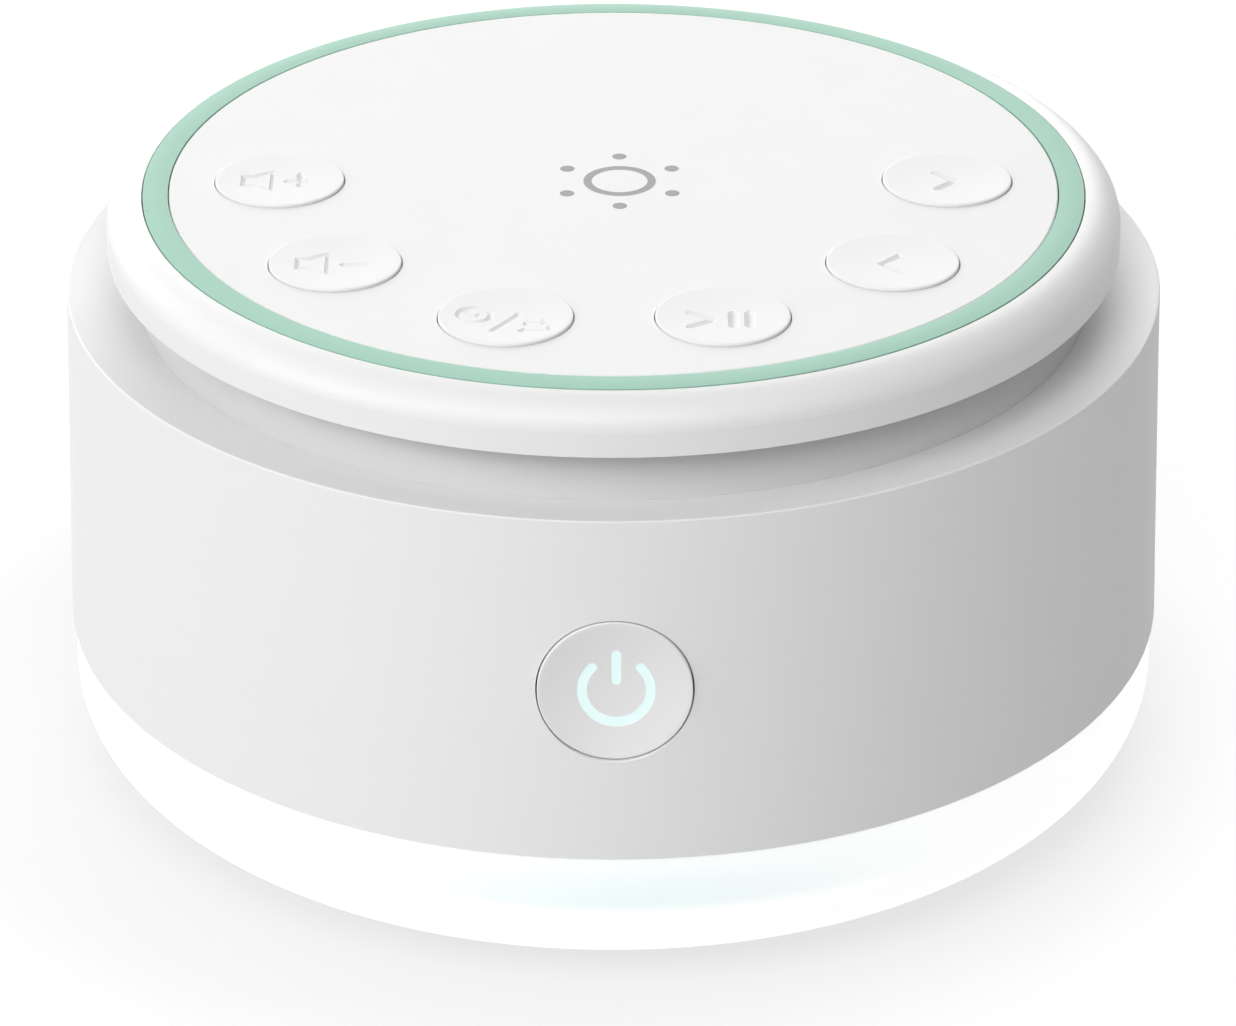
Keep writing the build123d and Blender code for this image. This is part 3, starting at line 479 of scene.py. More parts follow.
SHELL_WHITE = MouldedPlastic("satin_shell", grey(0.875), 0.5)
CAP_WHITE = MouldedPlastic("satin_cap", grey(0.885), 0.42)
PANEL_WHITE = MouldedPlastic("matt_panel", grey(0.89), 0.55)
KEY_WHITE = MouldedPlastic("satin_key", grey(0.885), 0.53)
COLLAR_WHITE = MouldedPlastic("matt_collar", grey(0.75), 0.6)
RING_MINT = MouldedPlastic("mint_accent", (0.40, 0.67, 0.545), 0.6, drift=0.03, specular=0.3)
TOUCH_INK = MouldedPlastic("grey_print", grey(0.34), 0.6, drift=0.06, grain_mm=0.1)
# The bowl's glow is lamp light; its cooler band at the front (its heights, bearing and reach) is painted shade.
BOWL_GLOW = LitBowl(
    "frosted_bowl", grey(0.35), 0.5, drift=0.01, gloss_drift=0.08, grain_mm=0.18, grain_depth_mm=0.0008,
    bright=grey(0.76), painted_shade=(0.56, 0.66, 0.65), painted_shade_band_mm=(8.7, 10.2, 17.5), bearing_deg=-88.0, reach_deg=40.0, spill=0.2,
)
SYMBOL_GLOW = LitSymbol(
    "lit_symbol", grey(0.3), 0.35, drift=0.02, gloss_drift=0.1, grain_mm=0.15, grain_depth_mm=0.0005,
    glow=(0.49, 0.68, 0.67), hot=(0.55, 0.74, 0.73),
)
FRAME_PLASTIC = MouldedPlastic("inner_frame", grey(0.62), 0.6, grain_mm=0.35, grain_depth_mm=0.004)
BASE_PLASTIC = MouldedPlastic("base_moulding", grey(0.74), 0.62, grain_mm=0.4, grain_depth_mm=0.006)
FOOT_RUBBER = MouldedPlastic("grey_rubber", grey(0.32), 0.8, grain_mm=0.3, grain_depth_mm=0.01, specular=0.3)
CONNECTOR_IVORY = MouldedPlastic("ivory_nylon", (0.72, 0.68, 0.56), 0.4)
CHIP_BLACK = MouldedPlastic("black_resin", grey(0.02), 0.55, grain_mm=0.1, grain_depth_mm=0.003)
LED_CREAM = MouldedPlastic("phosphor_cream", (0.85, 0.78, 0.42), 0.35, drift=0.08)
RIBBON_FILM = MouldedPlastic("grey_film", grey(0.6), 0.3, drift=0.1)
PAD_CARBON = MouldedPlastic("carbon_pad", grey(0.03), 0.9, grain_mm=0.3, grain_depth_mm=0.02)
MAGNET_FERRITE = MouldedPlastic("dark_ferrite", grey(0.05), 0.6, grain_mm=0.2, grain_depth_mm=0.006)
BASKET_PAINT = MouldedPlastic("black_paint", grey(0.02), 0.45, grain_mm=0.5, grain_depth_mm=0.008)
CONE_PAPER = MouldedPlastic("black_paper", grey(0.035), 0.9, drift=0.3, grain_mm=0.6, grain_depth_mm=0.03)
SPIDER_CLOTH = MouldedPlastic("amber_cloth", (0.55, 0.38, 0.14), 0.9, drift=0.2, grain_mm=0.4, grain_depth_mm=0.03)
SOFT_BLACK = MouldedPlastic("soft_rubber", grey(0.02), 0.75, grain_mm=0.3, grain_depth_mm=0.01)
LEAD_RED = MouldedPlastic("red_sleeve", (0.45, 0.03, 0.02), 0.45)
BOARD_GREEN = CircuitBoard("green_board", (0.01, 0.13, 0.05), (0.03, 0.25, 0.10))
SCREW_STEEL = Metal("plated_steel", grey(0.58), grey(0.42), 0.35)
INLET_STEEL = Metal("drawn_steel", grey(0.66), grey(0.5), 0.28)
CONTACT_GOLD = Metal("gold_contact", (0.83, 0.60, 0.22), (0.7, 0.48, 0.16), 0.25)
POLE_STEEL = Metal("turned_steel", grey(0.5), grey(0.36), 0.4, pitch_mm=0.3)
CAN_ALUMINIUM = Metal("drawn_can", grey(0.72), grey(0.6), 0.35)
COIL_COPPER = Metal("copper_winding", (0.78, 0.36, 0.18), (0.6, 0.25, 0.12), 0.3, pitch_mm=0.2, line_depth_mm=0.02)
SLOT_MESH = Weave("slot_cloth", thread=grey(0.10), gap=grey(0.01), radius_mm=41.8)


# ---- Meshes ----
def arc_points(centre: Point2, radii: Point2, start: float, end: float, steps: int) -> list[Point2]:
    """Points on an elliptical arc in a number of chords between two angles in degrees, its ends included."""
    angles = [math.radians(start + (end - start) * n / steps) for n in range(steps + 1)]
    return [(centre[0] + radii[0] * math.cos(a), centre[1] + radii[1] * math.sin(a)) for a in angles]


def spun(outline: list[Point2], segments: int, closed: bool = False, turn: float = math.tau) -> Shape:
    """Turn an outline of (radius, height) points about the axis.

    Args:
        outline: the outline in millimetres; an open one starts and ends on the axis.
        segments: facets round the axis.
        closed: join the last point to the first.
        turn: how far it goes round, in radians; the ends of less than a full turn are filled.

    Returns:
        A new bmesh in metres, with its normals outwards.
    """
    shape = bmesh.new()
    points = [shape.verts.new((radius * MM, 0.0, height * MM)) for radius, height in outline]
    pairs = list(zip(points, points[1:] + points[:1] if closed else points[1:]))
    edges = [shape.edges.new(pair) for pair in pairs]
    bmesh.ops.spin(
        shape, geom=points + edges, cent=(0, 0, 0), axis=(0, 0, 1), angle=turn, steps=segments,
        use_merge=turn == math.tau, use_duplicate=False,
    )
    bmesh.ops.remove_doubles(shape, verts=shape.verts, dist=WELD_GAP)
    ends = [edge for edge in shape.edges if edge.is_boundary]
    if ends:
        bmesh.ops.holes_fill(shape, edges=ends, sides=0)
    bmesh.ops.recalc_face_normals(shape, faces=shape.faces)
    return shape


def box_in(shape: Shape, low: Point3, high: Point3) -> None:
    """Add a box between two corners, in millimetres.

    Args:
        shape: the bmesh to add to.
        low: lowest corner.
        high: highest corner.
    """
    size = [(b - a) * MM for a, b in zip(low, high)]
    centre = [(a + b) / 2 * MM for a, b in zip(low, high)]
    matrix = Matrix.Translation(centre) @ Matrix.Diagonal((*size, 1.0))
    bmesh.ops.create_cube(shape, size=1.0, matrix=matrix)


def prism(shape: Shape, outline: list[Point2], low: float, high: Height) -> None:
    """Add an upright block with a given outline.

    Args:
        shape: the bmesh to add to.
        outline: corners of the block, seen from above, in millimetres.
        low: height of its flat bottom.
        high: function that gives the height of its top at a point.
    """
    corners = [shape.verts.new((x * MM, y * MM, low * MM)) for x, y in outline]
    edges = [shape.edges.new(pair) for pair in zip(corners, corners[1:] + corners[:1])]
    bottom = bmesh.ops.triangle_fill(shape, use_beauty=True, edges=edges)["geom"]
    faces = [item for item in bottom if isinstance(item, bmesh.types.BMFace)]
    block = bmesh.ops.extrude_face_region(shape, geom=faces, use_keep_orig=True)["geom"]
    for vertex in (item for item in block if isinstance(item, bmesh.types.BMVert)):
        vertex.co.z = high(vertex.co.x / MM, vertex.co.y / MM) * MM
    bmesh.ops.recalc_face_normals(shape, faces=shape.faces)


def smooth(mesh: bpy.types.Mesh) -> None:
    """Shade a mesh smooth, except at its sharp edges."""
    mesh.shade_smooth()
    mesh.set_sharp_from_angle(angle=SHARP_ANGLE)


def finished(name: str, shape: Shape) -> Piece:
    """Make an object of a bmesh, smooth except at its edges, and link it to the scene.

    Args:
        name: name of the piece.
        shape: its bmesh, which is freed.

    Returns:
        The object, at the origin.
    """
    mesh = bpy.data.meshes.new(name)
    shape.to_mesh(mesh)
    shape.free()
    smooth(mesh)
    piece = bpy.data.objects.new(name, mesh)
    bpy.context.scene.collection.objects.link(piece)
    return piece


def carve(piece: Piece, cutter: Piece) -> None:
    """Cut one object out of another and keep the result as the piece's own mesh.

    Args:
        piece: what is cut.
        cutter: what is taken away; it is removed from the scene.
    """
    cut = piece.modifiers.new("carve", "BOOLEAN")
    cut.operation = "DIFFERENCE"
    cut.solver = "EXACT"
    cut.use_self = True
    cut.object = cutter
    depsgraph = bpy.context.evaluated_depsgraph_get()
    carved = bpy.data.meshes.new_from_object(piece.evaluated_get(depsgraph))
    piece.modifiers.clear()
    carved.name = piece.name
    piece.data = carved
    smooth(carved)
    bpy.data.objects.remove(cutter)


# ---- Sub-assemblies ----
class Workshop:
    """The loaded frame and the materials that have been built so far."""

    def __init__(self, frame: dict) -> None:
        """Keep the frame, and start with no materials."""
        self.nodes: dict[str, Piece] = frame["nodes"]
        self.kit = EffectKit()
        self._materials: dict[str, bpy.types.Material] = {}

    def material(self, finish: Finish) -> bpy.types.Material:
        """The material of a finish, built on first use."""
        if finish.name not in self._materials:
            self._materials[finish.name] = finish.build(self.kit)
        return self._materials[finish.name]

    def dress(self, node: str, finish: Finish) -> None:
        """Give a node of the model a finish."""
        self.nodes[node].material_slots[0].material = self.material(finish)
        LOG.info("node %s dressed in %s", node, finish.name)

    def add(
        self, piece: Piece, finish: Finish, body: str | None, slot: str, replaces: tuple[str, ...] = (),
    ) -> None:
        """Finish a new piece and let it ride on a body.

        Args:
            piece: the new object.
            finish: its finish.
            body: the body that it moves with, or None for a piece that rides on no body.
            slot: not used.
            replaces: nodes that it stands for.
        """
        piece.data.materials.clear()
        piece.data.materials.append(self.material(finish))
        if body:
            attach(piece, body)
        if replaces:
            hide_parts(*replaces)
        LOG.info("piece %s: %d faces, rides on %s", piece.name, len(piece.data.polygons), body or "two bodies")


@dataclass
class Assembly:
    """A sub-assembly: the model's nodes that it dresses, and the pieces that it makes itself."""

    shop: Workshop
    dressing = dict[str, Finish]()

    def build(self) -> None:
        """Dress the nodes and make the pieces."""
        for node, finish in self.dressing.items():
            self.shop.dress(node, finish)
        self.make()

    def make(self) -> None:
        """Make the new pieces, where there are any."""


class Housing(Assembly):
    """Body shell, glowing bowl, base plate, feet and inner frame."""

    dressing = {
        "body_shell": SHELL_WHITE, "diffuser_bowl": BOWL_GLOW, "base_plate": BASE_PLASTIC, "rubber_feet": FOOT_RUBBER,
        "chassis": FRAME_PLASTIC, "base_screws": SCREW_STEEL, "chassis_screws": SCREW_STEEL,
        "main_board_screws": SCREW_STEEL, "led_board_screws": SCREW_STEEL,
    }


@dataclass
class Cap(Assembly):
    """Cap shell, accent ring, panel with its printed touch mark, and the collar with its mesh."""

    dressing = {
        "cap_shell": CAP_WHITE, "accent_ring": RING_MINT, "top_panel": PANEL_WHITE, "sound_collar": COLLAR_WHITE,
        "acoustic_mesh": SLOT_MESH, "cap_screws": SCREW_STEEL,
    }
    ring_radii: Point2 = (2.65, 3.43)
    ring_segments: int = 96
    dot_radius: float = 0.68
    dot_pitch_r: float = 5.73
    dot_count: int = 6
    dot_segments: int = 40
    ink_height: float = 0.02
    mark_x: float = 0.58

    def make(self) -> None:
        """Print the touch mark."""
        self.shop.add(self.touch_mark(), TOUCH_INK, "housing", "panel_white")

    def touch_mark(self) -> Piece:
        """Printed ring with dots round it, as a thin layer of ink on the panel."""
        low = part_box("top_panel")[1].z / MM
        high = low + self.ink_height
        inner, outer = self.ring_radii
        outline = [(inner, low), (outer, low), (outer, high), (inner, high)]
        shape = spun(outline, self.ring_segments, closed=True)
        radius = self.dot_radius * MM
        for number in range(self.dot_count):
            bearing = math.radians(90 + 360 / self.dot_count * number)
            centre = (self.dot_pitch_r * math.cos(bearing), self.dot_pitch_r * math.sin(bearing), (low + high) / 2)
            bmesh.ops.create_cone(
                shape, cap_ends=True, segments=self.dot_segments, radius1=radius, radius2=radius,
                depth=self.ink_height * MM, matrix=Matrix.Translation(Vector(centre) * MM),
            )
        bmesh.ops.translate(shape, vec=(self.mark_x * MM, 0.0, 0.0), verts=shape.verts)
        return finished("touch_mark", shape)


@dataclass(frozen=True)
class Stroke:
    """One engraved stroke: a line through points on the key's face, cut as a V with even walls."""

    points: tuple[Point2, ...]
    width: float = 0.86
    closed: bool = False
    wall_slope: float = 0.85
    spare: float = 0.3

    @property
    def tool_radius(self) -> float:
        """Half-width of the tool: half the stroke, and what stands above the face."""
        return self.width / 2 + self.spare

    def path(self, tip: float = 0.01) -> list[tuple[Point2, float]]:
        """Points of the tool's path, each with its share of the tool's radius, so that open ends slope too.

        Args:
            tip: share of the tool's radius that is left at an open end.

        Returns:
            Pairs of a point and a share.
        """
        line = [(point, 1.0) for point in self.points]
        if self.closed:
            return line
        ends = ((0, *self.points[:2]), (len(line) + 1, *self.points[:-3:-1]))
        for place, end, before in ends:
            away = (Vector(end) - Vector(before)).normalized() * self.tool_radius * (1 - tip)
            line.insert(place, (tuple(Vector(end) + away), tip))
        return line


def ring_stroke(centre: Point2, radius: float, width: float, chords: int = 36) -> Stroke:
    """A full circle as one closed stroke."""
    points = arc_points(centre, (radius, radius), 0, 360 - 360 / chords, chords - 1)
    return Stroke(tuple(points), width, closed=True)


SHALLOW = 0.45
SPEAKER_SIGN = Stroke(
    ((-3.4, -1.1), (-3.4, 0.9), (-2.35, 0.9), (-0.75, 1.95), (-0.75, -2.1), (-2.35, -1.1)), closed=True
)


class KeyIcon(Enum):
    """The six keys by their sign; each value is the node's name and the engraved strokes."""

    VOLUME_UP = (
        "volume_up", SPEAKER_SIGN, Stroke(((0.65, -0.15), (2.75, -0.15))), Stroke(((1.95, -1.3), (1.95, 1.45))),
    )
    VOLUME_DOWN = ("volume_down", SPEAKER_SIGN, Stroke(((0.7, -0.35), (3.0, -0.35))))
    TIMER = (
        "timer",
        ring_stroke((-2.8, 0.35), 1.47, 0.6),
        Stroke(((-3.5, 0.9), (-2.7, 0.0), (-2.4, 0.6)), 0.42),
        Stroke(((-1.25, -3.0), (1.2, 0.65)), 0.58),
        Stroke(((1.85, -1.75), (1.85, -1.15), (3.8, -1.15)), 0.54),
        Stroke(((3.35, -0.7), (3.85, -1.15), (3.35, -1.6)), 0.48),
        Stroke(((3.9, -2.3), (3.9, -2.95), (1.3, -2.95)), 0.54),
        Stroke(((1.8, -2.5), (1.25, -2.95), (1.8, -3.4)), 0.48),
    )
    PLAY_PAUSE = (
        "play_pause",
        Stroke(((-3.05, 0.85), (-0.85, -0.72)), wall_slope=SHALLOW),
        Stroke(((-0.85, -0.72), (-3.05, -2.25))),
        Stroke(((0.93, 0.75), (0.93, -2.1)), 1.05),
        Stroke(((2.4, 0.75), (2.4, -2.1)), 1.05),
    )
    PREVIOUS = ("previous", Stroke(((0.85, 1.65), (-1.05, -0.25), (0.75, -2.15))))
    NEXT = (
        "next", Stroke(((-1.1, 1.65), (0.72, -0.25)), wall_slope=SHALLOW), Stroke(((0.72, -0.25), (-1.1, -2.15))),
    )

    def __init__(self, node: str, *strokes: Stroke) -> None:
        """Keep the name that the key's nodes start with, and its strokes, in millimetres from its centre."""
        self.node = node
        self.strokes = strokes


@dataclass
class DishedKey(Assembly):
    """What the top keys and the front key share: a dished cap that stands on a flange."""

    radius: float = 6.1
    edge: float = 0.15
    edge_steps: int = 8
    dish: float = 0.18
    skin: float = 1.2
    pocket_radius: float = 4.9
    flange_radius: float = 7.2
    flange_height: float = 1.2
    segments: int = 128
    face_rings: int = 14

    @property
    def face_radius(self) -> float:
        """Radius of the dished face inside the rounded edge."""
        return self.radius - self.edge

    def face_height(self, distance: float, top: float) -> float:
        """Height of the dished face at a distance from the key's axis."""
        return top - self.dish * (1.0 - (distance / self.face_radius) ** 2)

    def section(self, bottom: float, top: float) -> list[Point2]:
        """Section of the cap, from the middle of its face round to its pocket's ceiling.

        Args:
            bottom: height of the flange's back.
            top: height of the key's rim.

        Returns:
            The section, as points of radius and height.
        """
        face = [self.face_radius * n / self.face_rings for n in range(self.face_rings)]
        ledge = bottom + self.flange_height
        return [
            *((distance, self.face_height(distance, top)) for distance in face),
            *arc_points((self.face_radius, top - self.edge), (self.edge, self.edge), 90, 0, self.edge_steps),
            (self.radius, ledge), (self.flange_radius, ledge), (self.flange_radius, bottom),
            (self.pocket_radius, bottom), (self.pocket_radius, top - self.skin),
        ]


@dataclass
class TopKeys(DishedKey):
    """Six dished round keys with engraved signs; each replaces its plain node."""

    dressing = {f"{icon.node}_plunger": CONNECTOR_IVORY for icon in KeyIcon}
    flat_inset: float = 0.6
    nib_radius: float = 1.5
    pitch_radius: float = 31.6

    def make(self) -> None:
        """Make, engrave and place the six keys."""
        for icon in KeyIcon:
            self.shop.add(
                self.key(icon), KEY_WHITE, f"{icon.node}_key", "button_white", (f"{icon.node}_button",)
            )

    def key(self, icon: KeyIcon) -> Piece:
        """One key, engraved, at its node's place.

        Args:
            icon: which key.

        Returns:
            The finished object.
        """
        low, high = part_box(f"{icon.node}_button")
        bottom, top = low.z / MM, high.z / MM
        ceiling = top - self.skin
        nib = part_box(f"{icon.node}_plunger")[1].z / MM
        post = [(self.nib_radius, ceiling), (self.nib_radius, nib), (0.0, nib)]
        shape = spun(self.section(bottom, top) + post, self.segments)
        self.cut_flat(shape)
        place = Vector(((low.x + high.x) / 2, (low.y + high.y) / 2, 0.0)).normalized()
        turn = Matrix.Rotation(math.atan2(place.y, place.x), 4, "Z")
        centre = place * self.pitch_radius * MM
        bmesh.ops.transform(shape, matrix=Matrix.Translation(centre) @ turn, verts=shape.verts)
        piece = finished(f"{icon.node}_key", shape)
        carve(piece, self.engraving(icon, centre, top))
        return piece

    def cut_flat(self, shape: Shape) -> None:
        """Cut the flange's flat, which faces the machine's axis.

        Args:
            shape: the key, centred on the origin.
        """
        edge = Vector((-(self.flange_radius - self.flat_inset) * MM, 0.0, 0.0))
        everything = shape.verts[:] + shape.edges[:] + shape.faces[:]
        cut = bmesh.ops.bisect_plane(shape, geom=everything, plane_co=edge, plane_no=(-1, 0, 0), clear_outer=True)
        rim = [item for item in cut["geom_cut"] if isinstance(item, bmesh.types.BMEdge)]
        bmesh.ops.edgeloop_fill(shape, edges=rim)

    def engraving(self, icon: KeyIcon, centre: Vector, top: float) -> Piece:
        """The cutter of one sign: a V-shaped tool's path along each stroke, following the dished face.

        Args:
            icon: which sign.
            centre: the key's centre, in metres.
            top: height of the key's rim, in millimetres.

        Returns:
            The cutter as a mesh object.
        """
        shape = bmesh.new()
        for stroke in icon.strokes:
            path = bpy.data.curves.new("tool_path", "CURVE")
            path.dimensions = "3D"
            path.bevel_depth = stroke.tool_radius * MM
            path.bevel_resolution = 0
            path.twist_mode = "Z_UP"
            path.use_fill_caps = True
            steps = stroke.path()
            line = path.splines.new("POLY")
            line.points.add(len(steps) - 1)
            for point, ((x, y), share) in zip(line.points, steps):
                height = self.face_height(math.hypot(x, y), top) / stroke.wall_slope + stroke.spare
                point.co = (centre.x + x * MM, centre.y + y * MM, height * MM, 1.0)
                point.radius = share
            line.use_cyclic_u = stroke.closed
            tool = bpy.data.objects.new("tool_path", path)
            cutter = bpy.data.meshes.new_from_object(tool)
            cutter.transform(Matrix.Diagonal((1.0, 1.0, stroke.wall_slope, 1.0)))
            shape.from_mesh(cutter)
            bpy.data.objects.remove(tool)
        bmesh.ops.remove_doubles(shape, verts=shape.verts, dist=WELD_GAP)
        return finished(f"{icon.node}_engraving", shape)


@dataclass
class PowerKey(DishedKey):
    """Dished front key with a lit symbol let into its face, and the switch behind it."""

    dressing = {
        "power_plunger": CONNECTOR_IVORY, "power_switch": CHIP_BLACK, "power_leds": LED_CREAM,
        "power_board": BOARD_GREEN,
    }
    radius: float = 6.92
    edge: float = 0.12
    dish: float = 0.75
    skin: float = 1.75
    pocket_radius: float = 5.5
    flange_radius: float = 8.4
    flange_height: float = 1.0
    segments: int = 160
    face_rings: int = 16
    plate_radius: float = 5.4
    plate_height: float = 1.0
    stem_radius: float = 1.5
    stem_segments: int = 64
    ring_outer: Point2 = (3.48, 3.66)
    ring_inner: Point2 = (2.62, 2.72)
    ring_centre: Point2 = (0.11, -0.2)
    gap_deg: float = 44.6
    bar_ends: Point2 = (0.70, 3.42)
    bar_radius: float = 0.43
    recess: float = 0.05
    cut_spare: float = 0.5
    ring_steps: int = 72
    ring_end_steps: int = 10
    bar_end_steps: int = 14

    def make(self) -> None:
        """Make the key and its insert."""
        low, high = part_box("power_button")
        place = Matrix.Translation((0.0, high.y, (low.z + high.z) / 2)) @ Matrix.Rotation(math.pi / 2, 4, "X")
        top = (high.y - low.y) / MM
        ceiling = top - self.skin
        stem = (high.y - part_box("power_symbol_lens")[1].y) / MM
        key = finished("power_key", spun(self.section(0.0, top) + [(0.0, ceiling)], self.segments))
        cutter = bmesh.new()
        for outline in self.symbol():
            prism(cutter, outline, ceiling - self.cut_spare, lambda x, y: top + self.cut_spare)
        carve(key, finished("power_symbol_cut", cutter))
        insert = finished("power_symbol", self.insert(top, stem))
        for piece in (key, insert):
            piece.data.transform(place)
        self.shop.add(key, KEY_WHITE, "power_key", "button_white", ("power_button",))
        self.shop.add(insert, SYMBOL_GLOW, "power_key", "symbol_glow", ("power_symbol_lens",))

    def symbol(self) -> tuple[list[Point2], list[Point2]]:
        """Outlines of the symbol's broken ring and of its bar."""
        return self.ring_outline(), self.bar_outline()

    def ring_outline(self) -> list[Point2]:
        """Outline of the symbol's broken ring, with round ends."""
        first, last = 90.0 + self.gap_deg, 450.0 - self.gap_deg
        outer = arc_points(self.ring_centre, self.ring_outer, first, last, self.ring_steps)
        inner = arc_points(self.ring_centre, self.ring_inner, last, first, self.ring_steps)
        corners = []
        for side, after in ((outer, inner), (inner, outer)):
            start, end = Vector(side[-1]), Vector(after[0])
            ahead = (start - Vector(side[-2])).normalized() * (end - start).length / 2
            middle, across = (start + end) / 2, (start - end) / 2
            turns = [math.pi * n / self.ring_end_steps for n in range(1, self.ring_end_steps)]
            corners += side + [tuple(middle + across * math.cos(t) + ahead * math.sin(t)) for t in turns]
        return corners

    def bar_outline(self) -> list[Point2]:
        """Outline of the symbol's upright bar, with round ends."""
        x, (low, high), radii, steps = self.ring_centre[0], self.bar_ends, (self.bar_radius,) * 2, self.bar_end_steps
        return arc_points((x, high), radii, 0, 180, steps) + arc_points((x, low), radii, 180, 360, steps)

    def insert(self, top: float, stem: float) -> Shape:
        """Clear insert: the symbol, the plate that carries it, and its stem.

        Args:
            top: height of the key's rim above the flange's back.
            stem: height of the stem's lower end, below 0.

        Returns:
            The bmesh, centred on the key's axis.
        """
        seat = top - self.skin
        back = seat - self.plate_height
        shape = spun([
            (0.0, seat), (self.plate_radius, seat), (self.plate_radius, back), (self.stem_radius, back),
            (self.stem_radius, stem), (0.0, stem),
        ], self.stem_segments)
        for outline in self.symbol():
            prism(shape, outline, seat, lambda x, y: self.face_height(math.hypot(x, y), top) - self.recess)
        return shape


@dataclass
class PowerInlet(Assembly):
    """Contact tongue of the inlet: a dark sleeve with two rows of gold contacts."""

    dressing = {"usb_c_socket": INLET_STEEL}
    tongue_half_width: float = 3.35
    tongue_half_height: float = 0.4
    tongue_depth: float = 4.6
    tongue_recess: float = 0.7
    sleeve_bevel: float = 0.12
    contact_set_back: float = 0.4
    contact_count: int = 12
    contact_pitch: float = 0.5
    contact_width: float = 0.26
    contact_length: float = 3.2
    contact_height: float = 0.03

    def make(self) -> None:
        """Make the sleeve and its contacts."""
        low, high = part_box("usb_c_socket")
        front, middle = high.y / MM - self.tongue_recess, (low.z + high.z) / 2 / MM
        self.shop.add(self.sleeve(front, middle), CHIP_BLACK, "housing", "chip_black")
        self.shop.add(self.contacts(front, middle), CONTACT_GOLD, "housing", "inlet_steel")

    def sleeve(self, front: float, middle: float) -> Piece:
        """Dark insulator round the tongue.

        Args:
            front: its front face, along Y.
            middle: its middle height.

        Returns:
            The finished object.
        """
        shape = bmesh.new()
        half, height = self.tongue_half_width, self.tongue_half_height
        box_in(shape, (-half, front - self.tongue_depth, middle - height), (half, front, middle + height))
        bmesh.ops.bevel(
            shape, geom=shape.edges[:], offset=self.sleeve_bevel * MM, offset_type="OFFSET", segments=2, profile=0.5,
            affect="EDGES", material=-1,
        )
        return finished("inlet_sleeve", shape)

    def contacts(self, front: float, middle: float) -> Piece:
        """Two rows of contact strips on the sleeve.

        Args:
            front: the sleeve's front face, along Y.
            middle: its middle height.

        Returns:
            The finished object.
        """
        shape = bmesh.new()
        end, half = front - self.contact_set_back, self.contact_width / 2
        for side in (-1, 1):
            face = middle + side * self.tongue_half_height
            low, high = sorted((face, face + side * self.contact_height))
            for number in range(self.contact_count):
                x = (number - (self.contact_count - 1) / 2) * self.contact_pitch
                box_in(shape, (x - half, end - self.contact_length, low), (x + half, end, high))
        return finished("inlet_contacts", shape)


class Electronics(Assembly):
    """Boards, chips, connectors and lights inside the housing."""

    dressing = {
        "main_board": BOARD_GREEN, "button_board": BOARD_GREEN, "led_board": BOARD_GREEN,
        "controller_chip": CHIP_BLACK, "amplifier_chip": CHIP_BLACK, "button_switches": CHIP_BLACK,
        "filter_capacitors": CAN_ALUMINIUM, "board_connectors": CONNECTOR_IVORY, "ribbon_sockets": CONNECTOR_IVORY,
        "ribbon_cable": RIBBON_FILM, "ring_leds": LED_CREAM, "touch_pad": PAD_CARBON,
        "button_board_screws": SCREW_STEEL,
    }


